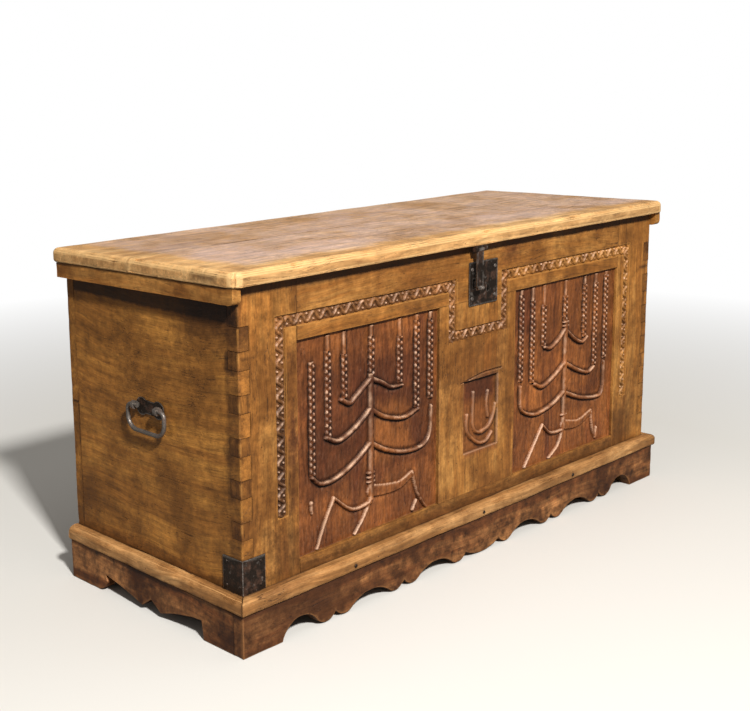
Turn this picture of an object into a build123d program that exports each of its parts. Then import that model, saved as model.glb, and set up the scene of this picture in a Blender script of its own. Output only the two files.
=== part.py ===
from build123d import *
import math
import os

# A carved walnut marriage chest: a framed and panelled front, wide boards at the sides and back, a
# scalloped skirt under a moulding bar, a plain lid on two strap hinges, and iron drop handles.
# X runs along the front to the right, Y from the front to the back, Z up from the floor.
# While the pieces are built, x = 0 and y = 0 are the middle of the carcass. Millimetres and degrees.

# ---- carcass ----
body_length = 1440
body_depth = 560
seat_height = 727          # floor to the lid's seat, at the front face
seat_fall = 14             # how much lower the seat is at the back face
front_thickness = 30
side_thickness = 28
back_thickness = 26
back_lower_width = 318     # height of the lower of the two back boards
floor_thickness = 20
floor_board_count = 3
bearer_width = 50
bearer_height = 30
bearer_inset = 320         # end of the carcass to the middle of a bearer
corner_wear = 4            # rounding of the carcass's upright corners

# ---- finger joints at the front corners ----
finger_height = 48
finger_pitch = 84
finger_drop = 77           # seat to the topmost finger's upper end
finger_count = 6

# ---- front frame ----
stile_width = 152
muntin_width = 276
top_rail_width = 127       # at the front face, up to the seat
bottom_rail_width = 63
tenon_length = 30
tenon_thickness = 12
tenon_shoulder = 14        # wood above and below a tenon
panel_thickness = 12
panel_recess = 9           # from the frame's face back to the panel's ground
panel_tongue = 9           # how far a panel runs into its grooves
groove_play = 1            # room at the bottom of a groove

# ---- carved bands on the frame ----
band_width = 25
band_depth = 5
band_stile_inset = 44      # stile's inner edge to the middle of its band
band_bay_inset = 44        # muntin's edge to the middle of the bands beside the lock
band_rail_rise = 42.5      # top rail's lower edge to the middle of the top band
band_bay_drop = 73         # top rail's lower edge to the middle of the band under the lock
band_foot_rise = 100       # bottom rail to the lower ends of the outer bands

# ---- small recess in the muntin ----
niche_x = 10
niche_width = 124
niche_rise = 95            # bottom rail to the niche
niche_height = 170
niche_depth = 8
niche_tongue_width = 9
niche_tongue_rise = 5
niche_outer_rise = 9       # niche's lower edge to the outer raised line
niche_outer_drop = 81      # niche's upper edge to that line's ends
niche_inner_rise = 27
niche_inner_drop = 27

# ---- candelabrum relief on the panels ----
stem_width = 11
stem_foot_rise = 80                # bottom rail to the stem's foot
relief_rise = 7
arm_pairs = 3
arm_width = 10
arm_first_drop = 128               # top rail to where the top pair leaves the stem
arm_pitch = 75                     # from one pair down to the next
arm_first_reach = 88               # middle of the stem to the tips of the top pair
arm_reach_step = 49                # how much further each lower pair reaches
arm_low_share = 0.6                # where along its reach an arm hangs lowest
arm_sag = 38
arm_tip_lift = 20
bead_width = 9
bead_top_gap = 5
leg_width = 10
leg_shoulder = 112                 # stem to the outer bend of the legs
leg_shoulder_rise = 94             # bottom rail to the outer bend of the legs
leg_spread = 168
leg_inner_spread = 55
leg_foot_rise = 6

# ---- plinth ----
plinth_height = 87                 # floor to the underside of the moulding
mould_height = 33
mould_projection = 26
mould_top_round = 13
mould_low_round = 8
skirt_thickness = 28
skirt_projection = 20
foot_length = 105                  # along the front, measured on the skirt's face
cusps_per_side = 3
centre_lobe_half = 62
last_cusp_gap = 149                # last cusp to the foot
lobe_width = 53
lobe_low = 2
cusp_rise = 17
join_rise = 13
arch_rise = 29
foot_arch_rise = 36
side_foot_length = 122             # along the side, front corner to the foot's inner edge
side_foot_slant = 6
side_notch_shift = -8              # middle of the side to the notch
side_notch_rise = 33
side_tooth_half = 31
side_tooth_low = 11
side_arch_rise = 40
side_arch_bow = 5                  # how far an arch stands off the straight line
back_foot_length = 102             # along the side, back face to the foot's scroll
scroll_reach = 32                  # how far the scroll's tip runs past the foot
scroll_tip_height = 26
block_size = 70

# ---- lid ----
lid_thickness = 32
lid_front_overhang = 24
lid_back_overhang = 10
lid_end_overhang = 27
lid_seam = 300                     # front face of the carcass to the joint of the two boards
lid_top_round = 12
lid_low_round = 5
lid_corner_round = 9
batten_thickness = 22
batten_depth = 32
batten_gap = 1
batten_front = 14                  # how far a batten runs in front of the carcass
batten_round = 12

# ---- nails ----
nail_shank = 2.0
nail_head = 4.0
nail_head_height = 1.6
nail_length = 16
nail_play = 0.1
mould_nail_left = 287              # left end of the carcass to the first nail in the moulding
mould_nail_middle = -5             # middle of the chest to the second
mould_nail_right = 365             # right end of the carcass to the third
batten_nail_count = 3
stud_head = 4.5

# ---- lock ----
lock_x = 10
lock_rise = 38                     # top rail's lower edge to the middle of the plate
plate_width = 102
plate_height = 100
plate_thickness = 2.5
stud_inset_x = 10
stud_inset_z = 17
keyhole_shift = 16
keyhole_drop = 15
keyhole_width = 6
keyhole_height = 16
case_height = 48
case_depth = 18
case_wall = 2
case_play = 1                      # thrown or drawn bolt to the case's end walls
rib_thickness = 3
rib_inset = 21                     # each end of the bolt to the rib that guides it
bolt_height = 6
bolt_thickness = 4
bolt_length = 62
bolt_throw = 14
bolt_play = 0.3

# ---- hasp ----
hasp_x = -24
hasp_width = 22
hasp_thickness = 4
hasp_pin_out = 18                  # front face of the carcass to the pin
hasp_pin_drop = 8.5                # lid's underside to the pin
hasp_pin_radius = 2.5
hasp_knuckle = 5.2
hasp_pin_play = 0.08
lug_thickness = 9
lug_play = 0.4
bracket_plate = 3
bracket_depth = 17
tang_length = 15
loop_thickness = 6
loop_clearance = 1                 # hanging loop to the plate
loop_height = 16
loop_foot = 3                      # loop to the end of the hasp
loop_hole_length = 6.5
loop_hole_height = 9
loop_end_wall = 2
slot_play = 1.5
hasp_rest_gap = 0.5                # closed hasp to the plate
thumb_radius = 4

# ---- strap hinges ----
hinge_inset = 240                  # end of the carcass to the middle of a strap
strap_width = 34
strap_thickness = 3
strap_reach = 230                  # along the lid's underside, from the back face
back_strap_length = 150
barrel_radius = 6
barrel_pin = 3
barrel_play = 0.05
barrel_out = 7                     # back face to the pin
barrel_drop = 6.5                  # lid's underside to the pin
knuckle_play = 0.3
strap_nail_pitch = 60
notch_play = 0.5

# ---- corner iron ----
iron_leg = 57
iron_height = 71
iron_thickness = 2.5
iron_nail_inset = 11

# ---- drop handles ----
handle_y = -5
handle_drop = 282                  # seat to the handle's eyes
handle_plate_width = 92
handle_plate_height = 38
handle_plate_drop = 3
handle_plate_thickness = 2.5
bail_radius = 4.5
bail_half_width = 60
bail_drop = 52
bail_top_round = 12
bail_low_round = 27
bail_tip = 27                      # handle's middle to the inner end of the bail
bail_out = 13                      # side face to the bail's axis
eye_spread = 38
eye_radius = 9
eye_width = 7
eye_play = 0.3
eye_shank = 3
eye_shank_length = 22

# ---- derived ----
half_length = body_length / 2
half_depth = body_depth / 2
seat_slope = math.degrees(math.atan(seat_fall / body_depth))
seat_run = body_depth / math.cos(math.radians(seat_slope))
body_low = plinth_height
floor_top = plinth_height
floor_low = floor_top - floor_thickness
skirt_inset = skirt_thickness - skirt_projection
front_inner = -half_depth + front_thickness
back_inner = half_depth - back_thickness
panel_face = -half_depth + panel_recess
top_rail_low = seat_height - top_rail_width
bottom_rail_top = plinth_height + bottom_rail_width
half_muntin = muntin_width / 2
stile_inner = half_length - stile_width
lock_z = top_rail_low + lock_rise
handle_z = seat_height - handle_drop
hinge_spread = half_length - hinge_inset
overcut = 50               # how far cutting blocks run past what they cut
beyond = 2 * seat_height   # taller than any board
lid_place = Location((0, -half_depth, seat_height), (-seat_slope, 0, 0))


def block(x_low, x_high, y_low, y_high, z_low, z_high):
    """A box between two corners."""
    size = (x_high - x_low, y_high - y_low, z_high - z_low)
    middle = ((x_low + x_high) / 2, (y_low + y_high) / 2, (z_low + z_high) / 2)
    return Pos(*middle) * Box(*size)


def rod(start, end, radius):
    """A round bar from one point to another."""
    run = Vector(*end) - Vector(*start)
    return extrude(Plane(origin=start, z_dir=run) * Circle(radius), amount=run.length)


def front_slab(sketch, y_front, depth):
    """A sketch drawn in x and z, made a slab that runs back from y_front."""
    face = Plane(origin=(0, y_front, 0), x_dir=(1, 0, 0), z_dir=(0, -1, 0))
    return extrude(face * sketch, amount=-depth)


def side_slab(sketch, x_low, depth):
    """A sketch drawn in y and z, made a slab that runs right from x_low."""
    face = Plane(origin=(x_low, 0, 0), x_dir=(0, 1, 0), z_dir=(1, 0, 0))
    return extrude(face * sketch, amount=depth)


def below_seat(shape):
    """Cuts a carcass piece off at the lid's seat, which falls towards the back."""
    above = block(-body_length, body_length, -overcut, body_depth + overcut, 0, beyond)
    return shape - lid_place * above


def lid_to_body(x, y, z):
    """A point given from the lid's seat, as a point of the chest."""
    return (lid_place * Pos(x, y, z)).position


def corner_rounding(side):
    """What wear has taken off the upright front corner on one side, -1 left and 1 right."""
    x, y = side * half_length, -half_depth
    square = Pos(x, y, 0) * Box(2 * corner_wear, 2 * corner_wear, beyond)
    kept = Pos(x - side * corner_wear, y + corner_wear, 0) * Cylinder(corner_wear, beyond)
    return square - kept


def nail(point, direction, head=nail_head, length=nail_length):
    """A wrought nail whose head sits on a surface at point and whose shank runs along direction."""
    start = Vector(*point)
    way = Vector(*direction).normalized()
    shank = rod(start, start + way * length, nail_shank)
    cap = extrude(
        Plane(origin=start, z_dir=-way) * Circle(head), amount=nail_head_height, taper=30
    )
    return shank + cap


def nail_hole(point, direction, length=nail_length):
    """The hole that a nail's shank is driven into."""
    start = Vector(*point)
    way = Vector(*direction).normalized()
    return rod(start - way, start + way * (length + nail_play), nail_shank + nail_play)


# ---- front frame ----

finger_tops = [seat_height - finger_drop - i * finger_pitch for i in range(finger_count)]
finger_spans = [(top - finger_height, top) for top in finger_tops]


def band_channels():
    """The shallow channels that hold the carved bands, as one cutting shape."""
    half = band_width / 2
    low, high = -half_depth - 1, -half_depth + band_depth
    top, bay = top_rail_low + band_rail_rise, top_rail_low - band_bay_drop
    foot = bottom_rail_top + band_foot_rise
    bay_x = half_muntin - band_bay_inset
    runs = []
    for side in (-1, 1):
        outer, inner = side * (stile_inner + band_stile_inset), side * bay_x
        across = sorted((outer + side * half, inner - side * half))
        runs.append(block(outer - half, outer + half, low, high, foot, top + half))
        runs.append(block(*across, low, high, top - half, top + half))
        runs.append(block(inner - half, inner + half, low, high, bay - half, top + half))
    edge = bay_x + half
    runs.append(block(-edge, edge, low, high, bay - half, bay + half))
    return runs[0] + runs[1:]


def panel_blank(side, play=0):
    """A carved panel's board with its tongues, before carving, or its groove with some play."""
    reach = panel_tongue + play
    inner, outer = half_muntin - reach, stile_inner + reach
    span = sorted((side * inner, side * outer))
    low, high = bottom_rail_top - reach, top_rail_low + reach
    return block(*span, panel_face, panel_face + panel_thickness, low, high)


def rail_tenons(low, high, play=0):
    """The two tenons of a rail between the given heights, one in each stile."""
    reach = stile_inner + tenon_length + play
    z_low, z_high = low + tenon_shoulder, high - tenon_shoulder
    y_low = panel_face
    return block(-reach, reach, y_low, y_low + tenon_thickness, z_low, z_high)


def muntin_tenons(play=0):
    """The muntin's tenons, up into the top rail and down into the bottom rail."""
    half = half_muntin - 2 * tenon_shoulder
    low = bottom_rail_top - tenon_length - play
    high = top_rail_low + tenon_length + play
    return block(-half, half, panel_face, panel_face + tenon_thickness, low, high)


top_tenon_top = seat_height - tenon_shoulder
top_tenons = rail_tenons(top_rail_low, top_tenon_top)
bottom_tenons = rail_tenons(body_low, bottom_rail_top)
channels = band_channels()
grooves = [panel_blank(side, groove_play) for side in (-1, 1)]

# The hasp hangs free. Pressed in, it leans by its closing angle, and the hole of its loop then
# stands where the bolt slides.
hasp_pin_point = lid_to_body(0, -hasp_pin_out, -hasp_pin_drop)
hasp_pin_y, hasp_pin_z = hasp_pin_point.Y, hasp_pin_point.Z
loop_drop = hasp_pin_z - lock_z
hasp_length = loop_drop + loop_height / 2 + loop_foot
hasp_gap = -half_depth - plate_thickness - hasp_pin_y - hasp_thickness / 2
loop_length = hasp_gap - loop_clearance
closing_angle = math.asin((hasp_gap - hasp_rest_gap) / hasp_length)
hole_back = hasp_thickness / 2 + loop_length - loop_end_wall - loop_hole_length / 2
bolt_y = (hasp_pin_y + hole_back * math.cos(closing_angle)
          + loop_drop * math.sin(closing_angle))
bolt_z = (hasp_pin_z + hole_back * math.sin(closing_angle)
          - loop_drop * math.cos(closing_angle))
bolt_start = hasp_x + loop_thickness / 2 + slot_play    # the bolt's free end when drawn back

case_box = (bolt_start - bolt_throw - case_play - case_wall,
            bolt_start + bolt_length + case_play + case_wall)
case_span = (lock_z - case_height / 2, lock_z + case_height / 2)
lock_mortise = block(*case_box, -half_depth - 1, -half_depth + case_depth, *case_span)


def front_stile(side):
    """An upright at the front corner, open at the edge for the side board's fingers."""
    span = sorted((side * stile_inner, side * half_length))
    stile = block(*span, -half_depth, front_inner, body_low, seat_height + overcut)
    stile = below_seat(stile) - corner_rounding(side) - channels - grooves
    edge = sorted((side * (half_length - side_thickness), side * (half_length + overcut)))
    for low, high in finger_spans:
        stile -= block(*edge, -half_depth - 1, front_inner + 1, low, high)
    for low, high in ((top_rail_low, top_tenon_top), (body_low, bottom_rail_top)):
        stile -= rail_tenons(low, high, groove_play)
    return stile - iron_nail_holes() if side < 0 else stile


def lock_nail_points():
    """Where the four domed nails hold the lock plate."""
    x, z = plate_width / 2 - stud_inset_x, plate_height / 2 - stud_inset_z
    y = -half_depth - plate_thickness
    return [(lock_x + i * x, y, lock_z + k * z) for i in (-1, 1) for k in (-1, 1)]


def lock_nail_holes():
    """The holes of the lock plate's nails, as one cutting shape."""
    holes = [nail_hole(point, (0, 1, 0)) for point in lock_nail_points()]
    return holes[0] + holes[1:]


def front_top_rail():
    """The rail above the panels, with the mortise for the lock behind its plate."""
    rail = block(-stile_inner, stile_inner, -half_depth, front_inner, top_rail_low,
                 seat_height + overcut)
    rail = below_seat(rail) - channels - grooves
    rail += top_tenons
    rail -= muntin_tenons(groove_play)
    return rail - lock_mortise - lock_nail_holes()


def front_bottom_rail():
    """The rail under the panels."""
    rail = block(-stile_inner, stile_inner, -half_depth, front_inner, body_low, bottom_rail_top)
    rail = rail - grooves + bottom_tenons
    return rail - muntin_tenons(groove_play)


def niche_tongue(half_width, low, high):
    """A raised line that comes down, turns in a half circle and goes up again."""
    y = -half_depth + niche_depth
    left, right = niche_x - half_width, niche_x + half_width
    turn = low + half_width
    line = Line((left, high), (left, turn))
    line += ThreePointArc((left, turn), (niche_x, low), (right, turn))
    line += Line((right, turn), (right, high))
    raised = trace(line, line_width=niche_tongue_width)
    return front_slab(raised, y - niche_tongue_rise, niche_tongue_rise)


def front_muntin():
    """The wide upright between the panels, with its small carved niche."""
    muntin = block(-half_muntin, half_muntin, -half_depth, front_inner, bottom_rail_top,
                   top_rail_low)
    muntin = muntin - channels - grooves + muntin_tenons() - lock_mortise - lock_nail_holes()
    half, line = niche_width / 2, niche_tongue_width
    low = bottom_rail_top + niche_rise
    high = low + niche_height
    muntin -= block(niche_x - half, niche_x + half, -half_depth - 1, -half_depth + niche_depth,
                    low, high)
    muntin += niche_tongue(half - line, low + niche_outer_rise, high - niche_outer_drop)
    muntin += niche_tongue((half - line) / 2, low + niche_inner_rise, high - niche_inner_drop)
    return muntin


def candelabrum(x_middle):
    """The raised tree: a stem, three pairs of sagging arms whose tips turn up into bead strings,
    and splayed legs."""
    top = top_rail_low - bead_top_gap
    stem_foot = (x_middle, bottom_rail_top + stem_foot_rise)
    lines = [trace(Line(stem_foot, (x_middle, top)), line_width=stem_width)]
    for side in (-1, 1):
        for pair in range(arm_pairs):
            reach = arm_first_reach + pair * arm_reach_step
            spring = top_rail_low - arm_first_drop - pair * arm_pitch
            tip = (x_middle + side * reach, spring - arm_sag + arm_tip_lift)
            low = (x_middle + side * reach * arm_low_share, spring - arm_sag)
            arm = ThreePointArc((x_middle, spring), low, tip)
            lines.append(trace(arm, line_width=arm_width))
            lines.append(trace(Line(tip, (tip[0], top)), line_width=bead_width))
        shoulder = (x_middle + side * leg_shoulder, bottom_rail_top + leg_shoulder_rise)
        outer_foot = (x_middle + side * leg_spread, bottom_rail_top + leg_foot_rise)
        inner_foot = (x_middle + side * leg_inner_spread, bottom_rail_top + leg_foot_rise)
        lines.append(trace(Line(stem_foot, shoulder), line_width=leg_width))
        lines.append(trace(Line(shoulder, outer_foot), line_width=leg_width))
        lines.append(trace(Line(stem_foot, inner_foot), line_width=leg_width))
    raised = front_slab(lines[0], panel_face - relief_rise, relief_rise + 1)
    for line in lines[1:]:
        raised += front_slab(line, panel_face - relief_rise, relief_rise + 1)
    return raised


def front_panel(side):
    """A carved panel, loose in its grooves."""
    return panel_blank(side) + candelabrum(side * (half_muntin + stile_inner) / 2)


# ---- sides, back and floor ----

def handle_shank_points():
    """Where the handle's eyes go through the side board, as y and z."""
    return [(handle_y + i * eye_spread, handle_z) for i in (-1, 1)]


def side_board(side):
    """A wide side board with fingers through the front stile."""
    outer, inner = side * half_length, side * (half_length - side_thickness)
    span = sorted((outer, inner))
    board = below_seat(
        block(*span, front_inner, back_inner, body_low, seat_height + overcut)
    )
    for low, high in finger_spans:
        board += block(*span, -half_depth, front_inner, low, high)
    board -= corner_rounding(side)
    for y, z in handle_shank_points():
        start, end = (outer + side, y, z), (outer - side * (eye_shank_length + 1), y, z)
        board -= rod(start, end, eye_shank + nail_play)
    return board - iron_nail_holes() if side < 0 else board


def back_board(low, high):
    """A wide board across the back."""
    return block(-half_length, half_length, back_inner, half_depth, low, high)


def hinge_notch(x):
    """The shallow notch in the top of the back board that lets a hinge strap through."""
    half = strap_width / 2 + notch_play
    start = seat_run - back_thickness - overcut
    deep = strap_thickness + notch_play
    return lid_place * block(x - half, x + half, start, seat_run + overcut, -deep, overcut)


def back_strap_nails(x):
    """The nails of a strap on the back, as points on its face."""
    y = half_depth + strap_thickness
    top = barrel_z - barrel_radius
    return [(x, y, top - (i + 0.5) * strap_nail_pitch) for i in range(2)]


barrel_y = half_depth + barrel_out
barrel_z = seat_height - barrel_drop - (body_depth + barrel_out) * seat_fall / body_depth


def back_board_upper():
    """The upper back board, notched for the hinges."""
    board = below_seat(back_board(body_low + back_lower_width, seat_height + overcut))
    for side in (-1, 1):
        x = side * hinge_spread
        board -= hinge_notch(x)
        for point in back_strap_nails(x):
            board -= nail_hole(point, (0, -1, 0))
    return board


def floor_board(index):
    """One of the boards that make the floor, counted from the front."""
    start, end = -half_depth + skirt_inset, half_depth
    width = (end - start) / floor_board_count
    reach = half_length - skirt_inset
    low = start + index * width
    return block(-reach, reach, low, low + width, floor_low, floor_top)


def floor_bearer(side):
    """A bearer nailed across the boards under the floor."""
    x = side * (half_length - bearer_inset)
    half = bearer_width / 2
    return block(x - half, x + half, -half_depth + skirt_inset, half_depth,
                 floor_low - bearer_height, floor_low)


def corner_block(side, end):
    """A block in the corner of the skirt, which carries the floor; end is -1 front and 1 back."""
    x = side * (half_length - skirt_inset)
    y = half_depth if end > 0 else -half_depth + skirt_inset
    x_span = sorted((x, x - side * block_size))
    y_span = sorted((y, y - end * block_size))
    return block(*x_span, *y_span, 0, floor_low)


# ---- skirt and moulding ----

def wave(points):
    """A line through the points, each in turn the end, the middle and the end of an arc."""
    line = ThreePointArc(*points[0:3])
    for i in range(2, len(points) - 1, 2):
        line += ThreePointArc(*points[i:i + 3])
    return line


def between(start, end, lift):
    """The point halfway between two, lifted off the straight line."""
    return (start[0] + end[0]) / 2, (start[1] + end[1]) / 2 + lift


def front_skirt():
    """The scalloped board under the front: pairs of lobes with a sharp cusp, joined by arches."""
    foot = half_length + skirt_projection - foot_length
    corner = half_length + skirt_projection
    last_cusp = foot - last_cusp_gap
    pitch = (last_cusp - centre_lobe_half) / (cusps_per_side - 1)
    near = [centre_lobe_half + i * pitch for i in range(cusps_per_side)]
    cusps = sorted([-x for x in near] + near)
    points = [(-foot, 0), (-foot + foot_length / 3, foot_arch_rise)]
    for x in cusps:
        if x != near[0]:
            points += [(x - lobe_width, join_rise), (x - lobe_width / 2, lobe_low)]
        points.append((x, cusp_rise))
        if x == -near[0]:
            points.append((0, lobe_low))
            continue
        points += [(x + lobe_width / 2, lobe_low), (x + lobe_width, join_rise)]
        if x != cusps[-1]:
            points.append((x + pitch / 2, arch_rise))
    points += [(foot - foot_length / 3, foot_arch_rise), (foot, 0)]
    edge = wave(points)
    rest = Polyline((foot, 0), (corner, 0), (corner, plinth_height), (-corner, plinth_height),
                    (-corner, 0), (-foot, 0))
    return front_slab(make_face(edge + rest), -half_depth - skirt_projection, skirt_thickness)


def side_skirt(side):
    """The board under a side: two flat arches with a notch between, and a scrolled back foot."""
    start, end = -half_depth + skirt_inset, half_depth
    foot = -half_depth - skirt_projection + side_foot_length
    back_foot = half_depth - back_foot_length
    front_arch = (foot + side_foot_slant, side_arch_rise)
    front_tooth = (side_notch_shift - side_tooth_half, side_tooth_low)
    back_tooth = (side_notch_shift + side_tooth_half, side_tooth_low)
    scroll = (back_foot - scroll_reach, scroll_tip_height)
    back_arch = (scroll[0] + side_foot_slant, side_arch_rise)
    edge = Polyline((start, 0), (foot, 0), front_arch)
    edge += ThreePointArc(front_arch, between(front_arch, front_tooth, side_arch_bow), front_tooth)
    edge += Polyline(front_tooth, (side_notch_shift, side_notch_rise), back_tooth)
    edge += ThreePointArc(back_tooth, between(back_tooth, back_arch, side_arch_bow / 2), back_arch)
    edge += ThreePointArc(back_arch, between(back_arch, scroll, -side_foot_slant / 3), scroll)
    edge += ThreePointArc(scroll, between(scroll, (back_foot, 0), -side_foot_slant),
                          (back_foot, 0))
    edge += Polyline((back_foot, 0), (end, 0), (end, plinth_height), (start, plinth_height),
                     (start, 0))
    outer = side * (half_length + skirt_projection)
    low = min(outer, outer - side * skirt_thickness)
    return side_slab(make_face(edge), low, skirt_thickness)


def mould_profile():
    """The moulding's section: out from the carcass along -x, up along y, with a round nose."""
    size = Rectangle(mould_projection, mould_height, align=(Align.MAX, Align.MIN))
    outer = size.vertices().group_by(Axis.X)[0].sort_by(Axis.Y)
    section = fillet(outer[-1], mould_top_round)
    low_corner = section.vertices().group_by(Axis.Y)[0].sort_by(Axis.X)[0]
    return Pos(0, plinth_height) * fillet(low_corner, mould_low_round)


def mould_points():
    """Where the moulding's nails are driven, on its front face."""
    y = -half_depth - mould_projection
    z = plinth_height + (mould_height - mould_top_round + mould_low_round) / 2
    places = (mould_nail_left - half_length, mould_nail_middle, half_length - mould_nail_right)
    return [(x, y, z) for x in places]


def front_mould():
    """The moulding bar across the front, mitred at both corners."""
    reach = half_length + mould_projection
    face = Plane(origin=(-reach, -half_depth, 0), x_dir=(0, 1, 0), z_dir=(1, 0, 0))
    bar = extrude(face * mould_profile(), amount=2 * reach)
    outline = Polyline((-half_length, -half_depth), (-reach, -half_depth - mould_projection),
                       (reach, -half_depth - mould_projection), (half_length, -half_depth),
                       close=True)
    bar = bar & extrude(make_face(outline), amount=seat_height)
    for point in mould_points():
        bar -= nail_hole(point, (0, 1, 0))
    return bar


def side_mould():
    """The moulding bar along the left side, mitred to the front bar."""
    reach = half_length + mould_projection
    start = -half_depth - mould_projection
    face = Plane(origin=(-half_length, start, 0), x_dir=(1, 0, 0), z_dir=(0, -1, 0))
    bar = extrude(face * mould_profile(), amount=start - half_depth)
    outline = Polyline((-half_length, -half_depth), (-reach, start), (-reach, half_depth),
                       (-half_length, half_depth), close=True)
    return bar & extrude(make_face(outline), amount=seat_height)


# ---- iron on the carcass ----

def iron_nail_points():
    """The corner iron's nails: point and direction."""
    y, x = -half_depth - iron_thickness, -half_length - iron_thickness
    low = plinth_height + mould_height + iron_nail_inset
    high = plinth_height + mould_height + iron_height - iron_nail_inset
    far = iron_leg - iron_nail_inset
    front = [((-half_length + far, y, z), (0, 1, 0)) for z in (low, high)]
    side = [((x, -half_depth + far, z), (1, 0, 0)) for z in (low, high)]
    return front + side


def iron_nail_holes():
    """The holes of the corner iron's nails, as one cutting shape."""
    holes = [nail_hole(point, way) for point, way in iron_nail_points()]
    return holes[0] + holes[1:]


def corner_iron():
    """A bent plate that mends the lower left front corner."""
    low = plinth_height + mould_height
    x, y = -half_length, -half_depth
    outside = block(x - iron_thickness, x + iron_leg, y - iron_thickness, y + iron_leg, low,
                    low + iron_height)
    iron = outside - block(x, x + iron_leg + 1, y, y + iron_leg + 1, low - 1,
                           low + iron_height + 1)
    return iron - iron_nail_holes()


def lock_plate():
    """The square plate over the lock, with a slot for the hasp's loop and a keyhole."""
    y = -half_depth - plate_thickness
    plate = Pos(lock_x, lock_z) * RectangleRounded(plate_width, plate_height, plate_thickness)
    plate -= Pos(hasp_x, lock_z) * Rectangle(loop_thickness + 2 * slot_play,
                                             loop_height + 4 * slot_play)
    key = Rot(0, 0, 90) * SlotOverall(keyhole_height, keyhole_width)
    plate -= Pos(lock_x + keyhole_shift, lock_z - keyhole_drop) * key
    return front_slab(plate, y, plate_thickness) - lock_nail_holes()


def lock_bolt():
    """The bolt, drawn back; it slides left through the hasp's loop."""
    half_y, half_z = bolt_thickness / 2, bolt_height / 2
    return block(bolt_start, bolt_start + bolt_length, bolt_y - half_y, bolt_y + half_y,
                 bolt_z - half_z, bolt_z + half_z)


def lock_case():
    """The sheet iron case let into the rail, open at the front, with two ribs that guide the
    bolt."""
    front, back = -half_depth, -half_depth + case_depth
    case = block(*case_box, front, back, *case_span)
    wall = case_wall
    case -= block(case_box[0] + wall, case_box[1] - wall, front - 1, back - wall,
                  case_span[0] + wall, case_span[1] - wall)
    for x in (bolt_start + rib_inset, bolt_start + bolt_length - rib_inset):
        case += block(x - rib_thickness / 2, x + rib_thickness / 2, front, back - wall, *case_span)
    high, deep = bolt_height / 2 + bolt_play, bolt_y + bolt_thickness / 2 + bolt_play
    way = block(case_box[0] + wall, case_box[1] - wall, front - 1, deep, bolt_z - high,
                bolt_z + high)
    return case - way


def both_ends(left):
    """A piece of the left end and its mirror on the right end."""
    return left, mirror(left, about=Plane.YZ)


def handle_plate():
    """The left handle's back plate: an oval with a waist between its two eyes."""
    x = -half_length - handle_plate_thickness
    z = handle_z - handle_plate_drop
    half = handle_plate_width / 2
    ring = handle_plate_height / 2
    outline = Pos(handle_y, z) * Rectangle(2 * (half - ring), 1.5 * ring)
    for i in (-1, 1):
        outline += Pos(handle_y + i * (half - ring), z) * Circle(ring)
    plate = side_slab(outline, x, handle_plate_thickness)
    for y, shank_z in handle_shank_points():
        plate -= rod((x - 1, y, shank_z), (x + overcut, y, shank_z), eye_shank + nail_play)
    return plate


def handle_eyes():
    """The two forged eyes of the left handle, driven through the plate into the side board."""
    x = -half_length - bail_out
    plate_x = -half_length - handle_plate_thickness
    eyes = []
    for y, z in handle_shank_points():
        ring = rod((x, y - eye_width / 2, z), (x, y + eye_width / 2, z), eye_radius)
        neck = block(x, plate_x, y - eye_width / 2, y + eye_width / 2, z - eye_shank,
                     z + eye_shank)
        shank = rod((plate_x - 1, y, z), (-half_length + eye_shank_length, y, z), eye_shank)
        hole = rod((x, y - eye_width, z), (x, y + eye_width, z), bail_radius + eye_play)
        eyes.append(ring + neck + shank - hole)
    return Compound(children=eyes)


def bail():
    """The left handle's bail, hanging: its tips turn in through the eyes."""
    x = -half_length - bail_out
    corners = [(-bail_tip, 0), (-bail_half_width, 0), (-bail_half_width, -bail_drop),
               (bail_half_width, -bail_drop), (bail_half_width, 0), (bail_tip, 0)]
    points = [(x, handle_y + y, handle_z + z) for y, z in corners]
    rounds = (bail_top_round, bail_low_round, bail_low_round, bail_top_round)
    path = FilletPolyline(*points, radius=rounds)
    return sweep(Plane(origin=path @ 0, z_dir=path % 0) * Circle(bail_radius), path=path)


# ---- hinges ----

def barrel_piece(x_low, x_high, radius):
    """A length of the hinge's barrel or pin."""
    return rod((x_low, barrel_y, barrel_z), (x_high, barrel_y, barrel_z), radius)


def knuckle_cut(x):
    """The middle third of a barrel, which belongs to the lid's strap."""
    third = strap_width / 6
    return x - third, x + third


def hinge_back_strap(x):
    """The strap on the back board, with the outer two knuckles."""
    half = strap_width / 2
    top = barrel_z
    plate = block(x - half, x + half, half_depth, half_depth + strap_thickness,
                  top - back_strap_length, top)
    strap = plate + barrel_piece(x - half, x + half, barrel_radius)
    low, high = knuckle_cut(x)
    strap -= block(low - knuckle_play, high + knuckle_play, half_depth - 1,
                   barrel_y + 2 * barrel_radius, barrel_z - barrel_radius - 1,
                   barrel_z + barrel_radius + 1)
    strap -= barrel_piece(x - strap_width, x + strap_width, barrel_pin + barrel_play)
    for point in back_strap_nails(x):
        strap -= nail_hole(point, (0, -1, 0))
    return strap


def lid_strap_nails(x):
    """The nails of a strap under the lid, from the lid's seat."""
    start = seat_run - back_thickness - strap_nail_pitch / 2
    count = int((strap_reach - back_thickness) / strap_nail_pitch)
    return [(x, start - i * strap_nail_pitch, -strap_thickness) for i in range(count)]


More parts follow.
